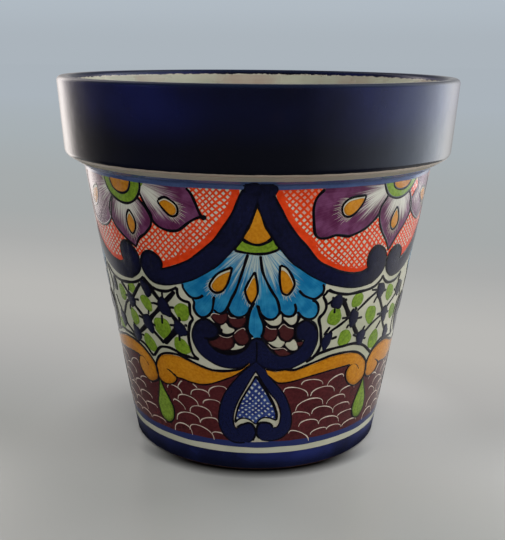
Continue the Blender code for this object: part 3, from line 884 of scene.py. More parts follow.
# %% [markdown]
# ## The four panels
# The drawing of the front panel runs from the flower on the left to the flower on the right. The other three are the
# same drawing, a little wider. What belongs to a flower is drawn from its own upright axis instead.

# %% Where a drawn mark goes on the pot
LEFT_AXIS, RIGHT_AXIS = -83.0, 95.0
FRONT_WIDTH = RIGHT_AXIS - LEFT_AXIS
BACK_WIDTH = (FULL_TURN - FRONT_WIDTH) / 3.0
AXES = [LEFT_AXIS, RIGHT_AXIS, RIGHT_AXIS + BACK_WIDTH, RIGHT_AXIS + 2.0 * BACK_WIDTH]
PANELS = range(4)
paint = {kind: [] for kind in (
    "navy", "amber_vine", "amber", "green", "leaf", "petal", "fan", "ink", "cream", "scale", "hatch", "burgundy",
    "orange", "burgundy_field", "milk", "twig", "low_ink", "hair")}


def plot(text):
    """One drawn line read from text: spaces part its places, and commas part a place's numbers."""
    return np.array([place.split(",") for place in text.split()], float)


def plots(text):
    """Several drawn lines, parted by slashes."""
    return [plot(line) for line in text.split("/")]


def lay(kind, *marks):
    """Adds finished marks to one kind of paint."""
    paint[kind].extend(marks)


def in_panel(number, drawn):
    """The front panel is as drawn. Another one starts where the last ended, and stretches to its own width."""
    places = np.array(drawn, float)
    if number:
        places[:, 0] = AXES[number] + (places[:, 0] - LEFT_AXIS) * BACK_WIDTH / FRONT_WIDTH
    return places


def at_axis(number, drawn):
    """Drawn from a flower's axis: the first two as seen, the two at the back a little wider."""
    places = np.array(drawn, float)
    places[:, 0] = AXES[number] + places[:, 0] * (BACK_WIDTH / FRONT_WIDTH if number > 1 else 1.0)
    return places


# %% [markdown]
# ## The navy swags
# Two broad navy strokes leave the top line at each panel's middle and part like a curtain. Each ends in a round head
# where the painter turned the brush. The stroke is a band between its two drawn edges, and the head is a daub.

# %% Swags, from their inner and outer edges
SWAG_RIGHT = {
    "inner": plot("""
        8.4,219.6 8.6,213.5 10.2,208.5 13.4,201.6 17.8,192.7 24.5,182.4 30.4,175.4 35.4,168.4 39.4,164.2 45.4,160.4
        52.3,157 59.5,154.4 66.3,153.1 72.5,153.1 77.8,155.4"""),
    "outer": plot("""
        0.6,219.6 -0.6,214 -1,211 -0.6,205 3.4,192.5 8.3,182.4 12.7,175 20.4,164.7 26.7,159.5 33.3,154.4 40.8,149.9
        46.9,146.9 53.2,144.7 60.6,142.6 67.6,141.5 74.9,141.3 81.6,142.1 86.7,144"""),
    "head": plot("""
        77.1,155.4 75.9,158.3 75.5,162.4 76.3,166.2 78.9,169.5 82.9,171 87.8,169.1 92.2,165.5 94.9,160.3 95.7,155.3
        94.4,150.8 91.3,147.1 86.7,144 81.6,142.1 76.4,145.8 75.1,151.2"""),
}
SWAG_LEFT = {
    "inner": plot("""
        -7.8,219.8 -8.8,215 -10.6,211 -12.6,205.9 -15.1,198.8 -20,190.4 -25.3,181.9 -30.2,176.3 -39,168.1 -42.9,164.9
        -48.2,161.8 -53.8,159 -59.5,156.8 -64.4,154.9"""),
    "outer": plot("""
        0.8,219.8 0.4,214 0.2,211 -0.8,205 -4.8,192 -9.8,180.5 -14,174.2 -19,167.8 -24.6,161.5 -30.2,157.2
        -40.3,150.5 -44.3,148.7 -50.4,146.2 -56.8,144.3 -62.7,143 -68.8,142.8 -73.5,143.5"""),
    "head": plot("""
        -64.4,154.9 -63.6,159 -64.9,163.1 -68,165.7 -71.2,167.1 -75.1,166.9 -79.2,164.4 -81.5,160.6 -82.7,156.3
        -82.1,152.4 -80.2,148.7 -77.2,145.7 -73.5,143.5 -67.2,142.9 -63.3,147 -62.6,151.4"""),
}
for number in PANELS:
    for swag in (SWAG_LEFT, SWAG_RIGHT):
        lay("navy", band(in_panel(number, swag["inner"]), in_panel(number, swag["outer"])))
        head = in_panel(number, swag["head"])
        lay("navy", daub(head, lift=0.22, rise=0.34))
        lay("ink", stroke(in_panel(number, swag["inner"]), lift=0.16, rise=0.10))
        lay("ink", open_line(head[:9], 0.5, lift=0.42, rise=0.10))
    for knob in ((-2.8, 215.6, 5.4, 5.0), (6.3, 214.6, 4.6, 5.0)):
        lay("navy", daub(in_panel(number, oval(*knob)), lift=0.30, rise=0.30))

# %% [markdown]
# ## The orange net behind the flowers
# Above the swags the painter laid solid orange along the edge and crossed thin lines over the rest, so that cream
# squares stay open. The field is one thin wash, and its finish draws the net in millimetres on the unrolled wall.

# %% Orange fields, one behind each flower
ORANGE_EDGE = plot("""
    -86.4,216.5 -84.6,209 -81.6,201.6 -77.2,192.7 -70.5,182.4 -64.6,175 -58.5,167 -52.5,161.5 -44,156.5 -35.2,153
    -27.8,151.8 -21.9,152.5 -14,151 -7,152 0,153.5 8,152 18.2,154.8 23.1,157.2 34.4,162.2 43.6,167.8 52.8,176.3
    57.7,181.9 63,190.4 67.9,198.8 70.4,205.9 73.2,215.5""")
ORANGE_TOP = [(-87.0, 216.2), (74.0, 216.2)]
for number in PANELS:
    edge = at_axis(number, ORANGE_EDGE)
    top = at_axis(number, ORANGE_TOP)
    lay("orange", field(edge, top, edge[0, 0] + 0.8, edge[-1, 0] - 0.8, border=edge))

# %% [markdown]
# ## The flowers
# A half flower hangs from the top line at each axis: an amber disc, a green ring, and five petals, purple on one
# side and brushed out to white on the other, each with an amber teardrop. The petals are daubs whose brush
# coordinate starts at the flower's middle, so the fading runs along them.

# %% The flower drawn on the left axis, and the one on the right axis
FLOWERS = [
    {
        "disc": plot("-18,216.8 -18,213.5 -15,208 -8,205.7 -1.5,208 1.5,213.5 1.5,216.8"),
        "ring": plot("-25.5,216.8 -23.5,209 -18,202.5 -9,199 -1,199.6 5.5,204 9.2,210.5 10,216.8"),
        "petal": plot("""
            6.5,204.2 11.9,198 14.7,191.8 15,189 13.6,184.7 8.3,179 2.7,174.9 -1.5,168 -1.5,168 -7.9,171 -16,176
            -22,181 -25.5,189 -24,196 -19.5,202"""),
        "under": plot("-7,206 3,206"),
        "tear": plot("""
            -3,194.8 -1.2,192.5 0.7,189 1.3,184.5 -0.3,179.8 -2.8,177.3 -5.3,179.3 -6.8,184 -6.6,189 -5,192.5"""),
        "pole": (-7, 212),
    },
    {
        "disc": plot("-7.1,216.8 -6.5,213 -3,210.2 2.5,209.3 8,210.3 11.3,213.5 12,216.8"),
        "ring": plot("-16.2,216.8 -15.6,215.6 -11.5,208.2 -4.9,204.1 3.2,203.4 10.6,206 16.5,211 19,216.8"),
        "petal": plot("""
            -10.4,206.6 -12.6,203 -15.2,198.6 -15.6,193.5 -13.7,186.8 -10.1,180.2 -4.2,172.8 0.3,165.4 0.3,165.4
            3.2,169.1 9.1,176.5 15,182.4 19.5,189 20,195 17,201 12.8,207"""),
        "under": plot("6,209 -4,209"),
        "tear": plot("1,197.2 3.6,193 5.2,188 4.6,183 1,180.2 -2.4,183 -3.4,187.5 -1.6,193"),
        "pole": (2, 215),
    },
]
SIDE_PETALS = [
    {
        "petal": plot("""
            -75,209 -71,200 -67.5,194 -66.9,189.7 -62.7,185.8 -56.3,183.9 -50,184.4 -45.8,187.2 -41.5,191 -37.3,193.9
            -33.1,195.7 -33.1,195.7 -34.5,198.8 -36.6,205.2 -38.7,210.8 -41.6,214.6"""),
        "under": plot("-42.2,216.4 -60,216.6 -74,216.6 -78,213"),
        "tear": plot("-60.9,204.8 -55.6,207 -49.3,203 -47.9,198.8 -49.3,195.3 -52.8,194.3 -56.3,197 -60.6,202.4"),
        "pole": (-76, 216),
    },
    {
        "petal": plot("""
            37.8,214.8 33.3,208.9 31.9,201.6 33,190.5 34.1,184.6 37,181.3 42.2,180.9 48.1,182.4 54,181.3 58.4,180.9
            68.7,184.6 75.4,189.8 79.3,194.2"""),
        "under": plot("84.6,205.3 86,211 84,216.6 60,216.6 40,216.4"),
        "tear": plot("66.1,208.6 57.7,208.2 52.5,206 49.9,201.6 51.4,196.4 55.4,194.6 59.9,197.1 64.3,203"),
        "pole": (86, 214),
    },
    {
        "petal": plot("""
            -59.4,206.9 -62.8,202.9 -66.4,198 -63.3,192.9 -56.9,187.1 -50,183.6 -44.8,181.9 -38,184 -33,189 -30,196
            -31,205 -34,212"""),
        "under": plot("-36,216.4 -50,216.6 -62,216.6 -60,211"),
        "tear": plot("-48,206.5 -42,205.5 -36,201 -33.8,197.5 -35.5,193.5 -40.5,193.4 -46,196.5 -51,202.5"),
        "pole": (-74, 218),
    },
    {
        "petal": plot("""
            37.8,214.8 33.3,208.9 31.9,201.6 33,190.5 35,183 40,178.5 48.7,176.8 54,177 59.4,177.9 65.1,180.6
            69.5,184.7 72.1,190.7 74.3,196.6 76.4,202.3"""),
        "under": plot("80,206 86,211 84,216.6 60,216.6 40,216.4"),
        "tear": plot("57,207 52,206.5 46,203 42.5,198 42,193.5 46,190.5 51,193 56,200"),
        "pole": (86, 214),
    },
]
SIDE_PETALS_OF = [(0, 1), (2, 1), (0, 1), (0, 3)]

# %% Painting the flowers
TEAR_LINE = 0.95


def hair(root, tip, lift):
    """A low ridge: four places from root to tip, on which the width falls away, and three places across."""
    share, sideways = np.array([[0.0], [0.35], [0.7], [1.0]]), np.array([-1.0, 0.0, 1.0])
    scale = step_width(root[1])
    run = (tip - root) * [scale, 1.0]
    length = np.hypot(*run)
    width = 0.30 * (1.0 - 0.85 * share) * sideways
    across = root[0] + (tip[0] - root[0]) * share - run[1] / length / scale * width
    up = root[1] + (tip[1] - root[1]) * share + run[0] / length * width
    height = lift + 0.05 * (1.0 - np.abs(sideways))
    return film(across, up, height, (length * share, width, np.abs(sideways)))


def fringe(tear, pole, lift=0.11, reach=5.6):
    """Hairs from a teardrop's edge, mostly away from the pole of its fan or flower and a little out from the drop."""
    edge = smooth(tear, 1.0, closed=True)
    outward, away = edge - tear.mean(axis=0), edge - pole
    outward, away = (way / np.hypot(*way.T)[:, None] for way in (outward, away))
    way = 0.5 * outward + 1.5 * away
    clear = (way * outward).sum(axis=1) > 0.55
    edge, way = edge[clear], way[clear]
    lengths = reach * (0.75 + 0.35 * np.sin(2.4 * np.arange(len(edge))))[:, None]
    tips = edge + way / np.hypot(*way.T)[:, None] * lengths
    return [hair(root, tip, lift) for root, tip in zip(edge, tips)]


def paint_tear(tear):
    """A cream teardrop inside a black line, with amber laid on its lower part only, so that the tip stays pale."""
    lay("milk", daub(tear, lift=0.16, rise=0.04))
    middle, foot = tear.mean(axis=0), tear[:, 1].min()
    amber = np.stack([middle[0] + 0.84 * (tear[:, 0] - middle[0]), foot + 0.8 + 0.80 * (tear[:, 1] - foot)], axis=1)
    lay("amber", daub(amber, lift=0.17, rise=0.12))
    lay("ink", outlined(tear, TEAR_LINE))


def paint_petal(place, number, drawn, lift):
    """The whole petal as a daub, its seen part as a line, and its amber teardrop with a line and white hairs."""
    petal, under, tear = (place(number, drawn[key]) for key in ("petal", "under", "tear"))
    pole = place(number, [drawn["pole"]])[0]
    lay("petal", daub(np.vstack([petal, under]), pole=pole, lift=lift))
    lay("ink", open_line(petal))
    lay("hair", *fringe(tear, pole, lift + 0.08, reach=6.5))
    paint_tear(tear)


for number in PANELS:
    flower = FLOWERS[number % 2]
    paint_petal(at_axis, number, flower, 0.07)
    ring, disc = at_axis(number, flower["ring"]), at_axis(number, flower["disc"])
    lay("green", daub(ring, lift=0.12, rise=0.08))
    lay("amber", daub(disc, lift=0.16, rise=0.10))
    lay("ink", open_line(ring), open_line(disc))
    for which in SIDE_PETALS_OF[number]:
        paint_petal(in_panel, number, SIDE_PETALS[which], 0.05)
    lay("ink", daub(in_panel(number, oval(-32.2, 195.2, 2.3, 1.8)), lift=0.20, rise=0.12))

# %% [markdown]
# ## The crest and the feather fan
# Under the swags' parting sit an amber crest and a green arc, and from them a fan of turquoise feathers opens. The
# fan is one daub, with the brush coordinate from its neck. The lobes are only lines over it, as the painter drew them.

# %% Crest, fan and drop
CREST = plot("-0.7,205.4 2,198 4.5,190 8.3,182.4 4.5,179 0,177.5 -4.5,178.5 -9.1,181.6 -5.5,190 -3,197")
CREST_ARC = plot("""
    -9.1,181.6 -4.5,178.5 0,177.5 4.5,179 8.3,182.4 10.5,178.5 12.7,175 6.5,172 0,171.3 -7,172 -13.7,173.8 -11.5,178""")
FAN = plot("""
    0,171.8 -12.5,174.2 -18.6,171 -26.4,163.2 -31.6,159 -41,153.4 -50.2,147.6 -49.3,143 -45.8,138 -43.2,135.4
    -42.9,129.5 -41.5,125.3 -38,122.8 -33.8,123.9 -30.4,126.9 -25.3,126.7 -21,128.8 -17.6,127.4 -13.3,124.6 -8.4,126
    -5.2,130 0.6,132.6 5.3,124.6 9,123.3 12.3,124.6 14.9,128.4 17.9,126.4 21.5,125.3 25.2,126.6 30.4,124.2 34.8,122.1
    39.2,123.1 41.4,127.1 41.1,131.6 39.8,137 42.9,140.4 44,144.1 44.4,149 34.8,156.4 28.4,161.4 22.2,166.6
    17.6,171.2 12.7,174""")
LOBES = plots("""
    -49.6,146.4 -49.3,143 -45.8,138 -41.5,136.6 -37.3,138 -35.5,139.8 / -43.6,136.2 -42.2,133.8 -42.9,129.5
    -41.5,125.3 -38,122.8 -33.8,123.9 -31,126.7 -29.5,130.3 -28.1,139.4 / -28.8,129.5 -25.3,126.7 -21,128.8 -19,133 /
    -19.3,131.7 -17.6,127.4 -13.3,124.6 -8.4,126 -5.6,129.5 -4.5,133 / -19.3,131.7 -16.6,138.5 -13.3,145.8 -9,160
    -6,171 / 0.5,134.2 2,128.6 5.3,124.6 9,123.3 12.3,124.6 14.3,127.9 14.5,131.5 12.7,138.2 9.7,143.4 6.8,149.2
    3.1,158.8 1.6,170 / 14.9,129.7 17.9,126.4 21.5,125.3 24.5,126.4 25.6,130.1 24.5,134.9 / 26.7,128.6 30.4,124.2
    34.8,122.1 39.2,123.1 41.4,127.1 41.1,131.6 39.2,134.9 36.3,136.4 / 26.7,144.5 30.4,140.4 36.3,137.5 39.2,137.5
    42.9,140.4 44,144.1 42.9,147.8""")
FAN_TEARS = plots("""
    -15.8,161.5 -24.6,156.5 -29.5,150.2 -30.6,146 -27.4,142.4 -22.5,143.8 -19,149.5 -16.8,156.5 / -1.7,158.6
    -6.3,149.5 -7.7,143.8 -4.2,135.2 -0.6,140.8 0.1,147.2 / 13.8,163.2 13.8,153.7 14.9,146.3 16.4,142.6 20,141.9
    23.4,148.5 21.5,155.1 17.9,161""")
FAN_DROP = plot("""
    -1.8,136.2 -3.7,132.8 -4.7,129.8 -5.7,124.6 -6.4,117.7 -5.4,113.2 -2.6,109.8 -0.3,109.1 2.8,109.9 4.4,114.1
    4.3,119.4 2.5,125.4 0.8,131.4 -0.2,134.4""")
FAN_SHARES = [1.0, 0.72, 0.86, 0.86]
for number in PANELS:
    def fan_place(drawn):
        """In the panel, with the fan as wide as that panel's share."""
        return in_panel(number, drawn * [FAN_SHARES[number], 1.0])

    fan = fan_place(FAN)
    middle = in_panel(number, [(-1.0, 152.0)])[0]
    pole = in_panel(number, [(0.0, 182.0)])[0]
    lay("fan", daub(fan, middle=middle, pole=pole, lift=0.05, rise=0.06))
    drop = in_panel(number, FAN_DROP)
    lay("fan", daub(drop, pole=pole, lift=0.06, rise=0.08))
    lay("ink", open_line(drop[:7]), open_line(drop[8:]))
    for lobe in LOBES:
        lay("ink", open_line(fan_place(lobe)))
    for tear in map(fan_place, FAN_TEARS):
        lay("hair", *fringe(tear, pole))
        paint_tear(tear)
    crest = in_panel(number, CREST)
    lay("amber", daub(crest, lift=0.10, rise=0.10))
    lay("ink", outlined(crest))
    arc = in_panel(number, CREST_ARC)
    lay("green", band(arc[:5], arc[:5:-1], lift=0.12, rise=0.10))
    lay("ink", outlined(arc))

# %% [markdown]
# ## The lattice panels
# Between the swag heads and the vines each axis carries a cream panel with green leaves and navy buds on a black
# lattice. The panel is the bare ground inside a black outline. Buds get short ticks, leaves get one dark vein.

# %% What stands in a lattice panel, from its axis. A bud or leaf: (across, up, half width, half height, lean)
PANEL_LINES = [
    plots("""
        -54.7,145.3 -48.7,142.5 -41.3,138.6 -34,137.3 -26.7,137 -17.5,138.1 -9.3,140 -3.2,143 0.8,146.1 / 0.8,146.1
        3.2,143.3 7.3,140 11.9,138.5 16.6,138.3 21.2,139.1 25.8,141.2 29,143 / 29,143 28.7,138.2 30.1,135.1
        33.3,133.4 37,132.6 37,127.9 37.2,123.8 38.7,120.5 36.5,117.4 35.2,113 34.2,107.3 34.2,103 34.6,99.9
        36.2,93.7 38.8,90.5 41,89.4 / 41,89.4 36.5,89.8 31.4,90.6 26.9,91.4 22.4,93 17.7,94.3 12.6,94.3 8,93.2
        4.8,90.6 2.2,87.5 -0.8,84.1 / -0.8,84.1 -3.3,85.3 -6.7,88.9 -10.4,91.5 -14.9,92.6 -21,93.6 -27.3,94.9
        -35.7,95 -44,95.3 -52,92.6 -57.6,90.6 / -57.6,90.6 -51.5,95 -49.1,102.1 -49.1,108.7 -50.6,115.4 -52,121
        -49.1,125.4 -48,129.4 -49.1,135.3 -54.7,145.3"""),
    plots("""
        -47.7,143 -44.1,141 -38.2,138.9 -32.1,137.6 -25.9,137.5 -19.5,137.8 -12.4,138.2 -6.9,139.4 -3.6,141.4
        -0.7,143.9 -0.2,146.2 / -0.2,146.2 2.7,142.5 7.2,139.4 14.8,138.2 22,139.2 28.8,142.9 / 28.8,142.9 27.4,136.6
        31.6,133.1 37.2,132.4 37.2,126.7 38.6,120.4 35.8,116.9 34.1,110.5 33.7,102 35.1,95 40.8,90.1 / 40.8,90.1
        33,90.4 25.3,91.4 16.2,92.5 9.7,90.2 5.6,86.9 3.2,84.3 / 3.2,84.3 -1.1,88.1 -8,93.1 -15.8,96.4 -23.3,97.3
        -30,97 -37.2,96.7 -44.7,95.6 -51.4,93.5 -59,88.7 / -59,88.7 -54.3,91.4 -50.5,95.9 -48.7,102.1 -49.6,109.3
        -50.6,115 -52.3,121.6 -49.1,125.9 -47.8,129.9 -48.6,134.1 -50.8,138.3 -49.3,140.3 -47.7,143"""),
]
BUDS = plots("""
    16.5,126,5.6,7.3,-1.7 -17.7,124.7,5,5.8,-1.1 -1.3,110,5.2,7.3,-1.8 -17.5,98.1,5,6.5,-0.9 27.8,111.5,5.3,6.2,-1.4
    1.4,137.4,4.4,6.4,-2.2 -36.4,105.2,5,6.4,-1 -41,131.8,3.6,6.4,0 / -39.8,133,4.8,5.6,0.1 -23.7,118.1,4.3,7.1,-0.2
    -44.5,103.8,3.8,6.9,1.4 -13.1,100.9,4.6,6.4,0.4 0.8,134.5,4.8,6.4,-0.6 12.4,113.8,4.6,6.7,-0.9 21.5,97,4.6,5.6,-1
    30,129.5,4.9,6.7,-1""")
LEAVES = plots("""
    12.3,109.4,7.8,8.1,-0.4 30.9,124.8,5.9,6.9,0.1 -0.3,125.9,5.3,6,-2.1 -14.6,134.2,4.9,4.2,0 -29.6,127.3,5,6.3,-0.9
    -17.2,111.2,5,6.4,-0.9 -42.3,99,5,5,0 -2.7,93.9,6.4,6.9,-2.8 27.7,97.8,6.5,6.5,-1.6 / -22.4,131.7,5.2,5.8,0.6
    -40.4,121.7,5.6,6.9,0.1 -6,117.2,5.9,7.3,-1 14.4,130,5.6,6.6,-1 26.6,112.2,5.8,6.2,-1 -29.1,103.3,6,6.6,-0.1
    3.6,95.1,6.5,7.6,-0.3""")
TWIGS = [
    plots("""
        26.7,139.6 19.5,132 11.1,123.4 2.6,115.3 -2.5,109.1 -10.4,102.5 -14.6,99.6 / 0.4,144.8 6.8,137.5 12.4,131.3
        16.4,126.6 21.9,121.3 25.8,116.4 27.9,112.6 / -29,136.4 -22.3,130.6 -17.5,125.4 -14.4,120.9 -9.8,117.4
        -5,113.5 -1.3,110.1 2.5,105.3 7.2,101.3 12.2,97.1 / 12.2,97.1 18.6,103.4 25,110.3 / -3.8,140.1 -8.5,134.9
        -11.5,131.4 -16,126 / -19.1,125 -25.8,120.5 -30.4,114.2 -36,106 / -36.4,105.2 -30.2,101.1 -24.2,97.7 -19,94 /
        -44.6,121.9 -41.6,116.2 -37.4,111.5"""),
    plots("""
        -2.2,134.8 -10.6,130.6 -17,126.3 -21.1,123.2 / -26,120.3 -34.6,114.8 -41.5,111 -43.4,108.4 / -36.9,135.3
        -34,131.4 -31,126.1 -27.7,119.9 / -23.3,114.9 -21.5,110.2 -17.2,103.8 / 0.4,129.6 2.3,127.1 7.3,119.5
        10.9,115 / 10,113.7 4,112 -2.8,109 -9.8,104.1 -12.2,101.8 / 11.1,109.1 14.7,104.2 18.8,99.1 / 28,126.4
        22.7,123 16.2,119.4 12.7,117.4"""),
]
TICKS = [
    plots("""
        -25.8,126.2 -20.6,126.6 / -13.6,125.8 -8.2,126.4 / 4.7,126.9 8.4,127.4 11.7,126.9 / 16.1,137.2 16,133 /
        21.3,126.8 25,127.1 / 13.3,119.6 12.8,112.4 / 19.3,112.8 23.9,113.4 / 27.9,120.9 28.6,117.2 / 31.6,115
        34,114.7 / 26.6,106.5 26.6,101.6 / -11.9,113.4 -6.4,112.5 / 1.1,120.8 0.1,117.2 / 3.1,110.1 6,109.7 /
        -12.9,98.4 -8.6,98.4 / -20.6,106.3 -19.1,103.3 / -20.8,120.3 -21.7,115.6 / -18.6,136 -19.3,131"""),
    plots("""
        -44.2,137 -41.8,135.2 / -47.1,132 -43.2,134.5 / -35.7,133.6 -31.8,133.4 / -41.3,128.4 -41,124.4 / -34.1,119.6
        -27.6,119.2 / -20.2,117 -15,117 / -23.4,126.5 -21.8,123.9 / -28.8,110.8 -27,113.6 / -10.3,109.3 -12,106.3 /
        -43.1,114.4 -47.1,108.3 / -40.9,104.5 -36.1,105.7 / -21.5,104.6 -16.9,102.1 / -9.4,98.8 -6.8,98.9 /
        -9.6,136.8 -2.6,135.6 / -4.9,125.7 -2.4,130.4 / 5,133.2 8.4,133.2 / 2,115.3 9,114.7 / 16,113.5 19.5,113.5 /
        4.5,103.4 9.3,108.7 / 22,129.8 26,129.5"""),
]

# %% Painting the lattice panels
TWIG_WIDTHS = [[1.8, 1.9, 1.4, 2.3, 1.6, 1.2, 1.2, 1.0], [1.1, 1.0, 2.0, 1.9, 1.4, 1.1, 1.1, 1.1]]
for number in PANELS:
    kind = number % 2
    for side in PANEL_LINES[kind]:
        lay("twig", open_line(at_axis(number, side), 1.15))
    for twig, width in zip(TWIGS[kind], TWIG_WIDTHS[kind]):
        lay("twig", open_line(at_axis(number, twig), width))
    for leaf in LEAVES[kind]:
        lay("green", daub(at_axis(number, oval(*leaf)), lift=0.10, rise=0.12))
    for bud in BUDS[kind]:
        lay("navy", daub(at_axis(number, oval(*bud, wobble=0.10)), lift=0.22, rise=0.24))
    for tick in TICKS[kind]:
        thinning = np.linspace(0.85, 1.0, len(tick))
        lay("twig", open_line(at_axis(number, tick), thinning, lift=0.18, rise=0.16, step=1.8))

# %% [markdown]
# ## The lower scrolls
# Two more navy strokes rise from the heart's point and curl back under the fan. Inside each curl sit burgundy and
# white scales, one over the next, each with its black line.

# %% Scrolls and the scales inside them
SCROLL_RIGHT = {
    "outer": plot("""
        36.8,121.1 39.9,118.8 42.4,113.2 43.2,105.3 41.6,98.5 38.1,91.8 31.6,87.8 24.3,84.8 17,84.1 9.7,85.2 4.6,86.8
        -0.4,89.8"""),
    "inner": plot("""
        33.6,107.5 32.5,103.4 29.2,99 24.3,95.9 18.6,94.7 13.6,95.7 9.2,99.3 6.3,104 3.6,108.4 -0.4,109.6"""),
    "head": (33.4, 113.8, 7.4, 7.7),
}
SCROLL_LEFT = {
    "outer": plot("""
        -39.1,120.1 -43,116.9 -45.3,112 -45.9,105.7 -43.8,99 -39.6,93.3 -33.8,89.3 -26.4,86.2 -19.1,85.2 -11.8,86.1
        -4.7,88.5 0,90.4"""),
    "inner": plot("""
        -33.6,107.4 -34.2,104.8 -33,102 -30.2,99.2 -26,96.5 -20.2,95.4 -14.5,96.2 -8.8,99.2 -5.4,103.6 -3.6,107.6
        0,109.6"""),
    "head": (-35, 114, 9.1, 7.4),
}
CURLS = plots("""
    -32,125 -29,127.4 -24.3,127.2 -19.3,128.6 -13.3,125.2 -6.4,127 -6.6,118.3 -4.9,112.6 -3.5,108.6 -4.9,104.7
    -9.5,99.2 -15.8,95.6 -23.9,95.4 -31,98.6 -35.4,103.2 -30,110 -27,116 / 2.2,126.8 5.3,124.8 9,123.3 14.6,128
    21.5,125.5 25.6,127.5 29.4,124.6 27.6,119 26.4,112 29,106.3 33.3,105.3 30.4,99.4 24.5,95.7 18.3,94.2 13,94.9 8,99
    4.6,104.3 2.5,108.8 4.2,114 4.3,118.3""")
CURL_SCALES = plots("""
    -31.3,124 -29.5,126.5 -24.7,126.2 -19.9,127.3 -19.3,125.4 -20.1,122.4 -22.2,119.9 -25,118.9 -27.7,120.2
    -29.7,122.3 / -18.6,125.5 -16,124.5 -11.3,124.7 -8,125.2 -7.3,123 -8.7,119.2 -12.1,116.8 -15.5,117.3 -18.1,119.5
    -19,122.4 / -12.8,115.2 -9.4,116.9 -7,113.9 -5.4,109.4 -6,106.3 -8.8,103.8 -11.6,104.1 -14.3,106.3 -15.6,108.9
    -15.9,111.2 / -25.4,109.7 -23.3,109.1 -19.8,109 -17,110.4 -16,107.4 -16.5,102.7 -19.4,99.8 -23.7,99 -28,100.2
    -31.5,101.4 -33.5,104.7 -29.8,106.2 -26.5,108.5 / 5,117.9 6.7,117.1 10.1,116.3 13.5,116.6 13.9,113.9 13.4,110.1
    11.1,107.4 7.6,107.1 5.2,108.7 4.1,112.5 / 14.5,116.1 16.1,118.4 17.7,119.8 20.9,117.4 24.5,116 25.4,112.5
    24.2,108.7 21.5,106.6 18.7,107.1 16.1,110 15.3,113.1 / 27.7,105 33.1,104.9 31.8,102.7 29.3,102 / 11.7,100.1
    14.8,99.6 18.3,100.6 21.3,98.8 24.3,96.3 21.5,94.9 17.2,94.5 14.3,96.5""")
CURL_WHITE = plots("""
    -24.3,117.9 -22.9,118.4 -21.2,120 -20.2,119.3 -18.9,117.1 -15.2,115.5 -16.2,113.5 -19,112.2 -21.8,112 -23.5,113
    -23.1,114.9 -24.4,115.9 / -14.7,104.7 -13,103.3 -10.2,102.9 -8.1,103.5 -10.2,101.5 -14.4,100.1 -18,99.7 -15.8,102
    / 3.9,125.4 5.9,123.2 9.9,122.3 13.9,123 15.7,127.4 16.2,124.4 16,121.4 14,119.2 10.7,118.9 8,120.1 5.2,123.2 /
    17.5,125.1 21.2,124.2 24.6,125.5 26.1,127.6 26.7,124.6 26.2,120.8 24.3,119.1 22.2,119.2 20,121.2 17.9,123.6 /
    14,110.8 15.1,109.2 16.6,107.2 19.1,106 18.8,104.4 16.1,101.8 12.6,102.7 9.8,104.4 7.7,106.3 10.4,106.4
    13.1,108.1 / 20.5,105.5 23,105.7 25,107.5 26.1,107.1 27.7,104.6 28.7,100.6 27,99.1 24.1,99.4 21.8,101.1
    19.9,103.6""")
CURL_RIMS = plots("""
    -31.3,124 -29.5,126.5 -24.7,126.2 / -18.9,126.2 -18,124.4 -14,124.2 -8,125.4 / -25.7,110.5 -23.3,109.3 -19.8,109
    -16.8,110.5 / -15.2,112.4 -12.8,115 -9.2,116.9 -8,115.4 / 6,118.6 8.7,116.4 13.1,116.2 / 14.5,116.1 17.7,119.7
    20.9,117.2 24.8,116 / 7.7,104.4 11.3,101 18.3,101.2 21.2,99.2""")


def paint_curled(number, drawn, lift, outer_line, head_line, turned_by, seen):
    """A navy stroke between two edges, and its round head. Black lines follow the edges and a part of the head."""
    outer, inner = in_panel(number, drawn["outer"]), in_panel(number, drawn["inner"])
    head = in_panel(number, oval(*drawn["head"]))
    lay("navy", band(outer, inner, rise=0.26), daub(head, lift=lift, rise=lift + 0.08))
    lay("low_ink", open_line(inner, 0.6), open_line(outer, outer_line),
        open_line(np.roll(head, turned_by, axis=0)[:seen], head_line, lift=lift + 0.22, rise=0.10))


for number in PANELS:
    for scroll, turned_by in ((SCROLL_LEFT, 4), (SCROLL_RIGHT, 0)):
        paint_curled(number, scroll, 0.22, 0.5, 0.6, turned_by, 11)
    lay("low_ink", open_line(in_panel(number, [(-0.2, 91), (0.2, 98), (-0.2, 107)]), 0.5, lift=0.44, rise=0.10))
    for curl in CURLS:
        lay("low_ink", daub(in_panel(number, curl), lift=0.05, rise=0.02))
    for scale in CURL_SCALES:
        lay("burgundy", daub(in_panel(number, scale), lift=0.10, rise=0.10, step=1.0))
    for white in CURL_WHITE:
        lay("milk", daub(in_panel(number, white), lift=0.10, rise=0.08, step=1.0))
    for rim in CURL_RIMS:
        lay("scale", open_line(in_panel(number, rim), 0.20, lift=0.16, rise=0.10))

# %% [markdown]
# ## The amber vines and the leaf drops
# An amber scroll leaf runs from the heart's shoulder to each axis, and a green drop hangs between two leaf heads.

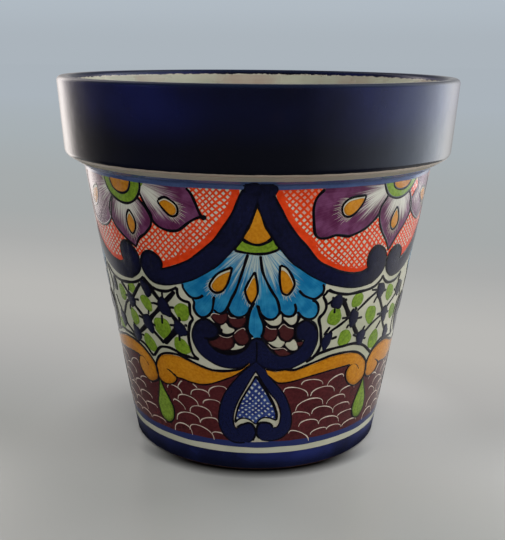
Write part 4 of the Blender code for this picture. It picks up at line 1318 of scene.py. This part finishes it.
# %% Vines, from their upper and lower edges
VINE_RIGHT = {
    "upper": plot("""
        6.8,84.6 13.6,82.8 20.7,83.5 27.5,82.5 34.3,84.3 41.2,86.4 48.3,88.3 55.7,90 63.6,90.6 70.4,90.3 76,89.5
        82.3,87.5"""),
    "lower": plot("""
        8.6,80 14.9,74.3 21.2,73.7 28.1,74.6 35,76.1 42.1,77.4 49.5,78.5 57.2,79.4 65.4,80 73.4,80.2 75.7,80"""),
    "head": plot("""
        76,89.5 82.3,87.5 87.9,83.7 92.2,79.3 94.3,74.6 95,69.9 93.7,65.7 90.8,63.5 86.8,61.7 82.6,61.8 78.3,64.1
        74.7,68.3 73.2,73.2 74.1,76.7 74.4,79.9 70.5,84.4 70.6,89"""),
    "ridge": plot("""
        6.8,85.4 13.6,83.9 20.6,84.5 27.4,83.5 34.2,85.5 41.1,87.6 48.1,89.5 55.5,91.2 63.4,91.7 70.2,91.5 75.8,90.6
        82,88.5 88.3,84.4 93.3,79.3 95.5,74.3 96.1,69.6"""),
    "curl": plot("""
        96.1,69.6 95,65.3 91.9,62.8 87.8,61.1 82.8,61.3 77.9,63.8 74,68.1 72.3,73.4 73.1,76.9 75.6,79.3 79.1,79.9
        83,78.3 86.5,74"""),
}
VINE_LEFT = {
    "upper": plot("""
        -4.8,90 -10.5,84.7 -17.2,82.5 -24.6,81.4 -32.2,81.3 -39.8,83.2 -46.9,85.4 -53.4,87.9 -60.3,89 -67,88.8
        -72.4,87.6"""),
    "lower": plot("""
        -5,88.9 -11.2,82.9 -16.6,79.1 -22.8,76.1 -29.1,73.2 -35.7,70.6 -41.7,69.4 -46.9,69.6 -52.3,70.1 -57.8,71.3
        -62.7,71.6 -65.9,73.4 -69,75.5 -72.3,76.6"""),
    "head": plot("""
        -72.4,87.6 -77.4,85.2 -80.6,80.9 -82.6,76.7 -82.7,71.4 -81.4,67.7 -78.4,64.9 -73.8,64 -68.9,65.1 -65.5,67.4
        -63.8,70.2 -64.6,72.8 -67.4,74.6 -69.9,76.2 -64.3,79 -63,88.3 -67,88.8"""),
    "ridge": plot("""
        -5,90.4 -11.2,85.2 -17.8,83.4 -23.9,82.5 -32.1,82.4 -39,83.9 -46.1,86.2 -52.6,88.5 -59.3,90.3 -65.8,90.2
        -72,88.9 -77.1,86.1 -81.2,81.1 -83,75.8"""),
    "curl": plot("""
        -83,75.8 -83.2,71.3 -81.5,67.3 -78.5,64.5 -73.8,63.6 -68.5,64.9 -64.9,67.2 -63.1,70.2 -64.1,73 -65.8,73.7"""),
}
DROPS = plots("""
    1.6,66.6 1.6,66.6 5.5,58 10.3,50 12.9,42.6 11,34.5 4.8,30.3 -2,33.8 -4.4,42.6 -2.2,52 0,60 / -0.1,65.3 -0.1,65.3
    3.4,57 7.4,48.5 9.1,41 7.6,34 2.5,30.6 -4.4,33 -7.8,41 -5.8,49.5 -2.4,58""")
for number in PANELS:
    for vine in (VINE_LEFT, VINE_RIGHT):
        line = {key: in_panel(number, drawn) for key, drawn in vine.items()}
        lay("amber_vine", band(line["upper"], line["lower"], lift=0.14, rise=0.20))
        lay("amber_vine", daub(line["head"], lift=0.16, rise=0.22))
        for key, width in (("ridge", 0.95), ("curl", 0.6), ("lower", 0.6)):
            lay("low_ink", open_line(line[key], width, lift=0.22, rise=0.18))
    drop = at_axis(number, DROPS[number % 2])
    lay("leaf", daub(drop, lift=0.14, rise=0.24))
    lay("low_ink", outlined(drop, 0.75))

# %% [markdown]
# ## The heart
# Two navy strokes meet in a point at the top and curl in at the foot. A cream reserve line and a black line follow
# them inside, and the middle is filled with fine blue hatching.

# %% Heart strokes, reserve lines and hatching
HEART_RIGHT = {
    "outer": plot("""
        -0.9,91.6 2.6,88.4 6.8,83.9 9.1,79.6 13,74.7 17.7,68.8 21.9,62.8 25.5,54.3 27.7,46.6 28.3,39 27,34 23.1,29.6
        18.3,27 11.8,26 6.8,26.4"""),
    "inner": plot("""
        -0.9,84.1 1.9,79.7 5.6,73.2 10.3,65.8 15.1,59.9 18.5,53.1 19.4,46.4 18.8,40.6 16.8,37.2 14,37"""),
    "head": (7.2, 34.3, 7, 7.9),
}
HEART_LEFT = {
    "outer": plot("""
        -0.3,91.6 -3.8,88.2 -9.4,83.2 -14.2,77.6 -19.5,70.8 -23.6,64.7 -27.1,56.2 -29.1,47.6 -29.6,39.2 -27.8,33.5
        -25.1,28.9 -21.1,25.6 -17,24 -12.9,23.9 -8.7,24.4"""),
    "inner": plot("""
        -0.3,84.1 -2.5,80.4 -6.1,73.9 -9.9,66.5 -13.8,58.9 -16.7,51.3 -18,44.5 -17.4,38.7 -15.5,35.2 -13.4,35.6"""),
    "head": (-7.6, 33, 7.9, 8.2),
}
HEART_FIELD = plot("""
    -0.6,83 -0.6,83 -2.6,79 -9.9,65.4 -16.1,51.8 -17.6,41.2 -15.4,36.6 -8,30 -4.6,24.4 0.5,24.4 9.6,24.4 12,30
    16.6,37.6 18.8,40.6 19,46.8 15.1,59 9.7,66.6 1.6,79.4""")
HATCH = plot("""
    -0.3,79.7 -0.3,79.7 -4.6,71.6 -8.4,64.9 -12.3,57.4 -15.1,48.9 -16.4,40.9 -16.4,40.9 -13.3,44 -9.3,45.1 -4.6,43.6
    0.1,40.3 2.4,43.7 6.3,45.7 11,45.2 16,43.1 16,43.1 16,48.3 13.8,55.1 10.4,61.8 5.7,70 1.9,76.5""")
for number in PANELS:
    lay("cream", daub(in_panel(number, HEART_FIELD), lift=0.07, rise=0.03))
    for heart, turned_by in ((HEART_LEFT, 2), (HEART_RIGHT, -1)):
        paint_curled(number, heart, 0.24, 0.6, 0.7, turned_by, 9)
    hatch = in_panel(number, HATCH)
    lay("hatch", daub(hatch, lift=0.12, rise=0.04))
    lay("low_ink", open_line(hatch[1:8], 0.75), open_line(hatch[7:17], 0.6),
        open_line(np.vstack([hatch[16:], hatch[:1]]), 1.1))

# %% [markdown]
# ## The scales at the foot
# The burgundy wash at the foot is covered with cream arcs like fish scales, each drawn in one pull.

# %% Burgundy fields and their scale lines: the start, crest and end of each arc
BURGUNDY_BOTTOM = 24.2
BURGUNDY_TOP = plot("""
    -95,86 -89,83 -83,77 -73,76 -56,77.5 -41,80.5 -25,82 -11,80 0,78 13,77 28,74 41,73 53,76 65,81 75,86 83,87""")
SCALES = plots("""
    26.7,31 33,31.5 45,22.5 / 45.9,27.7 51,31.7 61.3,29.1 / 61.3,29.1 68.7,31.7 76.8,27.7 / 78,27.7 87.2,31.3 96,28.4
    / 34.8,35.8 42.2,40.9 52.5,35.4 / 52.5,35.4 62.8,40.2 73.1,33.2 / 70.9,38 78.3,40.9 87.9,38.7 / 28.5,46.8
    34.1,48.3 43.7,43.9 / 45.1,45.4 55.4,50.1 65.4,42.4 / 65,45 76.1,49 82.7,45 / 31.1,49.8 40,58.3 54.3,52 /
    57.7,51.2 65.8,56.8 76.1,52.7 / 20.4,66 34.1,68.9 40.3,60.8 / 42.5,60.5 55.4,66.7 63.6,60.8 / 69.5,57.9 76.8,61.9
    85,59 / 34.1,70.8 42.2,74.1 52.1,68.6 / 56.2,66.7 65,73.4 70.9,71.2 / -71.9,25 -64.1,33.1 -54.2,25 / -56.3,29.2
    -45.1,34.2 -34.5,24.3 / -36,29.2 -28.1,31.3 -25.3,28.5 / -68.3,34.9 -59.2,43.7 -45.8,37 / -45.8,37 -37.3,42.6
    -30.2,39.8 / -69.7,50.4 -65.5,51.4 -58.5,45.4 / -54.2,44.7 -44.4,51.1 -35.5,44 / -64.5,53.2 -55.6,58.1 -46.1,51.1
    / -41.9,53.9 -35.2,58.1 -27.4,54.6 / -74,60.3 -67.6,63.8 -59.9,58.1 / -51.8,59.5 -44.4,65.2 -35.9,60.3 /
    -63.4,63.1 -61,67.4 -58.5,69.1 / -49.3,68.7 -47.6,67.6 -45.8,65.9 / -36.6,63.1 -28.1,69.8 -21.8,65.9""")


def round_arc(start, crest, end):
    """Half an ellipse from start to end, through the crest: a cosine across, and a sine upwards."""
    turn = np.linspace(0.0, pi, 9)[:, None]
    share = (1.0 - np.cos(turn)) / 2.0
    line = start + (end - start) * share
    rise = crest[1] - (start[1] + end[1]) / 2.0
    line[:, 1:] += rise * np.sin(turn) ** 0.8
    return line


for number in PANELS:
    top = at_axis(number, BURGUNDY_TOP)
    bottom = at_axis(number, [(across, BURGUNDY_BOTTOM) for across in (-95, 0, 83)])
    lay("burgundy_field", field(bottom, top, top[0, 0] + 0.6, top[-1, 0] - 0.6, lift=0.03))
    for arc in SCALES:
        line = in_panel(number, round_arc(*arc))
        width = np.interp(np.linspace(0, 1, len(line)), [0.0, 0.3, 0.8, 1.0], [0.26, 0.42, 0.32, 0.20])
        lay("scale", open_line(line, width, lift=0.10, rise=0.10, pressure=0.4))

# %% The two washed blue lines
def washed_line(bottom, top, seed, rows=6, lift=0.06):
    """A ring between two heights. Both edges wander by a few tenths, by slow waves round the pot."""
    across = np.linspace(-180.0, FULL_TURN - 180.0, 480, endpoint=False)
    angle = np.radians(across / 2.0)
    random = np.random.default_rng(seed)
    low, high = (sum(random.uniform(0.05, 0.16) * np.cos(k * angle + random.uniform(0.0, 6.0))
                     for k in (5, 9, 14, 23)) for edge in (0, 1))
    share = np.linspace(0.0, 1.0, rows)[:, None]
    up = bottom + low + (top + high - bottom - low) * share
    height = lift + 0.06 * np.sqrt(1.0 - (2.0 * share - 1.0) ** 2)
    return film(across, up, height, (across * 1.2, up, 0.0), ring=True)


make_piece("washed_lines", [washed_line(215.1, 220.8, 5, 22, 0.24), washed_line(20.3, 25.2, 6)], wash_paint,
           ["top_line_enamel", "base_line_enamel"])

# %% [markdown]
# ## The painting becomes pieces
# All marks of one kind of paint are one piece, as they were one pot of colour on the bench. Only the black lines are
# three pieces, by where they lie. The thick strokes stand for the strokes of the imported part.

# %% One piece for each paint: (name, kind, finish, slot, what the names of the replaced nodes start with)
PIECES = [
    ("orange_fields", "orange", orange_net, "tin_ground", ()),
    ("burgundy_fields", "burgundy_field", burgundy_paint, "tin_ground", ()),
    ("cream_reserves", "cream", cream_paint, "tin_ground", ()),
    ("white_scales", "milk", cream_paint, "tin_ground", ()),
    ("white_hairs", "hair", cream_paint, "tin_ground", ()),
    ("burgundy_scales", "burgundy", burgundy_daub, "purple_enamel", ()),
    ("turquoise_fans", "fan", turquoise_paint, "turquoise_enamel", ("feather_fan", "fan_drop")),
    ("purple_petals", "petal", purple_paint, "purple_enamel", ("petal",)),
    ("green_marks", "green", green_paint, "green_enamel", ()),
    ("leaf_drops", "leaf", leaf_paint, "green_enamel", ("leaf_drop",)),
    ("amber_marks", "amber", amber_paint, "amber_enamel", ()),
    ("amber_vines", "amber_vine", amber_paint, "amber_enamel", ("vine",)),
    ("heart_hatching", "hatch", heart_net, "washed_blue", ()),
    ("scale_lines", "scale", scale_paint, "tin_ground", ()),
    ("navy_strokes", "navy", navy_paint, "navy_enamel", ("swag", "scroll", "heart")),
    ("flower_outlines", "ink", ink_paint, "navy_enamel", ()),
    ("lattice_lines", "twig", ink_paint, "navy_enamel", ()),
    ("scroll_outlines", "low_ink", ink_paint, "navy_enamel", ()),
]
for name, kind, finish, slot, starts in PIECES:
    make_piece(name, paint[kind], finish, [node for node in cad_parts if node.startswith(starts)])

# %% [markdown]
# ## Table, light and camera
# The pot stands on a pale table in front of a pale wall. Soft lamps round it light the painting, and a sheet that is
# only seen in reflections draws the long highlights on the band.

# %% The table, a round sheet whose far part shows its own pale colour to the camera. Its colour carries painted light, a painted contact shadow and, in the gloss, a painted reflection
def sheet_of(name, grid, faces):
    """A smooth open sheet from a grid of points in metres."""
    mesh = bpy.data.meshes.new(name)
    mesh.from_pydata(grid.reshape(-1, 3).tolist(), [], faces)
    mesh.shade_smooth()
    return into_scene(name, mesh)


def table_top():
    """Rings of points at growing radii round the pot."""
    radius = np.concatenate([np.linspace(0.02, 1.2, 25), np.geomspace(1.4, 12.0, 14)])
    angle = np.linspace(0.0, 2.0 * pi, 96, endpoint=False)
    radius = radius[:, None]
    grid = np.stack([radius * np.cos(angle), radius * np.sin(angle), 0.0 * radius * angle], axis=-1)
    index = np.arange(radius.size * angle.size).reshape(-1, angle.size)
    ahead = np.roll(index, -1, axis=1)
    faces = np.stack([index[:-1], index[1:], ahead[1:], ahead[:-1]], axis=-1).reshape(-1, 4)
    table = sheet_of("table", grid, [index[0].tolist(), *faces.tolist()])
    table.location.z = -0.0002
    return table


FOOT_EDGE = 0.0972
SHADE_REACH = 0.0135
table = table_top()
pale, tree, shader = new_finish("pale table", 0.30)
spot = object_place(tree)
depth = axis_of(tree, spot, 1)
slanted = plus(tree, depth, times(tree, axis_of(tree, spot, 0), 0.33))
# The table's colour changes with place: lighter to the right and in a band behind the pot, darker in front and far
# back. This is painted room light. Far from the pot the camera sees this colour as it is.
ramp = put(tree, "ValToRGB", {0: times(tree, plus(tree, slanted, 0.4), 0.2)})
table_light_stops = plot("""
    -0.3,150,150,147 -0.16,149,150,147 -0.09,156,156,153 0,165,165,163 0.1,176,175,173 0.22,184,183,180
    0.32,184,183,180 0.45,178,178,176 0.58,171,172,171 0.8,166,170,170 1.2,166,171,172 2,167,175,179
    4,170,179,187""")
ramp.color_ramp.elements.remove(ramp.color_ramp.elements[1])
for number, (at, *screen) in enumerate(table_light_stops):
    stop = ramp.color_ramp.elements[0] if number == 0 else ramp.color_ramp.elements.new((at + 0.4) * 0.2)
    stop.position = (at + 0.4) * 0.2
    stop.color = shade(*screen)
to_camera = put(tree, "LightPath").outputs["Is Camera Ray"]
# A contact shadow is painted into the table's colour in front of the foot: near black at the foot's edge, fading out
# over SHADE_REACH.
from_pot = put(tree, "VectorMath", {0: spot}, operation="LENGTH").outputs["Value"]
beside = maths(tree, "DIVIDE", minus(tree, from_pot, FOOT_EDGE), SHADE_REACH, clamp=True)
contact_shadow_in_front = ramped(tree, depth, -0.045, -0.086)
painted_contact_shadow = times(tree, contact_shadow_in_front, minus(tree, 1.0, maths(tree, "POWER", beside, 1.25)))
tree.links.new(mixed(tree, painted_contact_shadow, ramp.outputs[0], (0.002, 0.002, 0.002, 1.0)), shader.inputs["Base Color"])
beyond = times(tree, ramped(tree, from_pot, 0.10, 0.20), ramped(tree, depth, -0.12, 0.0))
far = times(tree, maths(tree, "MAXIMUM", beyond, ramped(tree, from_pot, 0.20, 0.55)), to_camera)
# To glossy rays the table glows with its own colour, a painted reflection. It turns near black close to the pot and
# towards the front, which is painted shade of the table as seen in the gloss.
in_gloss = put(tree, "LightPath").outputs["Is Glossy Ray"]
lit = times(tree, ramped(tree, slanted, -0.17, 0.12), ramped(tree, from_pot, 0.096, 0.118))
reflected = mixed(tree, lit, shade(22, 22, 26), ramp.outputs[0])
own_light = put(tree, "Emission", {"Color": mixed(tree, in_gloss, ramp.outputs[0], reflected), "Strength": 1.0})
blend = put(tree, "MixShader", {0: maths(tree, "MAXIMUM", far, in_gloss)})
tree.links.new(shader.outputs[0], blend.inputs[1])
tree.links.new(own_light.outputs[0], blend.inputs[2])
tree.links.new(blend.outputs[0], tree.nodes["Material Output"].inputs["Surface"])
table.data.materials.append(pale)

# %% The room: pale to the camera, dim to everything else
room = bpy.data.worlds.new("pale room")
bpy.context.scene.world = room
room.use_nodes = True
tree = room.node_tree
back = tree.nodes["Background"]
seen = put(tree, "LightPath").outputs["Is Camera Ray"]
upward = axis_of(tree, put(tree, "TexCoord").outputs["Generated"], 2)
wall = mixed(tree, ramped(tree, upward, 0.0, 0.05), shade(171, 180, 188), shade(177, 187, 196))
tree.links.new(mixed(tree, seen, shade(62, 64, 68), wall), back.inputs["Color"])
back.inputs["Strength"].default_value = 1.0

# %% Lamps, which light the painting but are not seen in the gloss: (name, place, size, radiance)
LAMPS = [
    ("left window", (-0.95, 0.78, 0.62), (0.50, 1.20), 4.6),
    ("right window", (1.02, 0.62, 0.62), (0.75, 1.20), 4.8),
    ("right wall", (1.25, -0.25, 0.60), (0.80, 1.10), 2.0),
    ("ceiling", (0.0, 0.35, 1.75), (1.30, 1.30), 1.7),
    ("front fill", (0.15, -1.70, 1.35), (1.60, 1.20), 3.9),
    ("left fill", (-1.35, -0.85, 0.80), (0.90, 0.90), 3.4),
    ("right fill", (1.35, -0.75, 0.80), (0.90, 0.90), 5.0),
]
for name, place, (width, tall), radiance in LAMPS:
    lamp = bpy.data.lights.new(name, "AREA")
    lamp.shape = "RECTANGLE"
    lamp.size, lamp.size_y = width, tall
    lamp.energy = radiance * pi * width * tall
    holder = into_scene(name, lamp)
    holder.location = place
    toward = Vector((0.0, 0.0, 0.14)) - Vector(place)
    holder.rotation_mode = "QUATERNION"
    holder.rotation_quaternion = toward.to_track_quat("-Z", "Y")
    holder.visible_camera = holder.visible_glossy = False

# %% [markdown]
# ## What the gloss reflects
# The band shows the room behind the camera as one long smear: a narrow bright window on the left, a broad one on the
# right and a dark room between. A tall sheet round the table carries that smear. It is seen in reflections alone, so
# it neither lights the painting nor throws a shadow.

# %% The reflected room: direction from the front to the right in degrees, then brightness or colour
SMEAR = plot("""
    -180,0.4 -168,0.5 -160,0.95 -155,1.7 -148,2.7 -142,2.6 -136,1.9 -131,1.25 -126,0.66 -122,0.5 -118,0.35 -111,0.24
    -102,0.135 -93,0.075 -69,0.03 0,0.02 26,0.03 46,0.22 61,0.45 78,0.88 87,1.22 97,1.5 109,2.1 117,2.5 125,2.7
    129,2.6 135,2.3 141,1.8 149,1.05 158,0.5 180,0.4""")
TINT = plot("""
    -180,1,1,1 -160,1,0.93,0.89 -126,1,0.92,0.88 -60,1,1,1 40,0.95,1,1.06 90,0.86,0.97,1.14 121,0.92,0.99,1.08
    140,1,1,1 180,1,1,1""")
SHEET_RADIUS = 0.78
BAND_RADIUS = 0.148
CAMERA_PLACE = (-0.00470, -0.6873, 0.30564)


def seen_direction(turn):
    """A place on the band reflects a ray from the camera: its direction, and where on the sheet that ray ends."""
    normal = np.array([np.sin(turn), -np.cos(turn)])
    place = BAND_RADIUS * normal
    ray = place - np.array([CAMERA_PLACE[:2]]).T
    ray = ray / np.linalg.norm(ray, axis=0)
    ray = ray - 2.0 * np.sum(ray * normal, axis=0) * normal
    ahead = np.sum(place * ray, axis=0)
    reach = -ahead + np.sqrt(ahead**2 + SHEET_RADIUS**2 - BAND_RADIUS**2)
    end = place + reach * ray
    return np.degrees(np.arctan2(ray[0], -ray[1])), np.degrees(np.arctan2(end[0], -end[1]))


def reflected_room():
    """A standing cylinder. Its brightness at a turn is the smear's for the direction that ends there, and fades up."""
    direction, end = seen_direction(np.radians(np.linspace(-77.0, 77.0, 309)))
    turn = np.linspace(-180.0, 180.0, 240, endpoint=False)
    looked = np.interp(turn, np.concatenate([[-180.0], end, [180.0]]), np.concatenate([[-180.0], direction, [180.0]]))
    height = np.array([-0.001, 0.1, 0.2, 0.3, 0.42, 0.5, 0.61, 0.8, 1.03, 1.4, 2.0])
    share = np.interp(height, [0.42, 0.61, 1.03, 2.0], [1.0, 0.5, 0.3, 0.2])
    glow = np.interp(looked, *SMEAR.T)[:, None] * share
    tint = [np.interp(looked, TINT[:, 0], TINT[:, i])[:, None] for i in (1, 2, 3)]
    colour = np.stack([glow * part for part in tint] + [0.0 * glow + 1.0], axis=-1)
    angle = np.radians(turn)[:, None]
    grid = np.stack([SHEET_RADIUS * np.sin(angle) + 0.0 * height, -SHEET_RADIUS * np.cos(angle) + 0.0 * height,
                     height + 0.0 * angle], axis=-1)
    index = np.arange(grid.shape[0] * grid.shape[1]).reshape(grid.shape[:2])
    ahead = np.roll(index, -1, axis=0)
    faces = np.stack([index[:, :-1], index[:, 1:], ahead[:, 1:], ahead[:, :-1]], axis=-1).reshape(-1, 4)
    sheet = sheet_of("reflected_room", grid, faces.tolist())
    brightness = sheet.data.attributes.new("glow", "FLOAT_COLOR", "POINT")
    brightness.data.foreach_set("color", colour.astype(np.float32).ravel())
    return sheet


sheet = reflected_room()
glowing, tree, _ = new_finish("reflected room")
glow = put(tree, "Attribute", attribute_name="glow").outputs["Color"]
glowing_skin = put(tree, "Emission", {"Color": glow, "Strength": 1.0})
tree.links.new(glowing_skin.outputs[0], tree.nodes["Material Output"].inputs["Surface"])
sheet.data.materials.append(glowing)
sheet.visible_camera = sheet.visible_diffuse = sheet.visible_transmission = sheet.visible_shadow = False

# %% The camera: where the photograph was taken from, found from the rim, band, stripe and foot ellipses
PITCH = 0.2533
ROLL = 0.0086
lens = bpy.data.cameras.new("camera")
lens.sensor_width = 36.0
lens.lens = 58.4
lens.clip_start = 0.05
camera = into_scene("camera", lens)
right = Vector((cos(ROLL), 0.0, sin(ROLL)))
upward = Vector((-cos(PITCH) * sin(ROLL), sin(PITCH), cos(PITCH) * cos(ROLL)))
forward = Vector((sin(PITCH) * sin(ROLL), cos(PITCH), -sin(PITCH) * cos(ROLL)))
camera.matrix_world = Matrix.Translation(CAMERA_PLACE) @ Matrix((right, upward, -forward)).transposed().to_4x4()
bpy.context.scene.camera = camera
bpy.context.scene.view_settings.view_transform = "Standard"
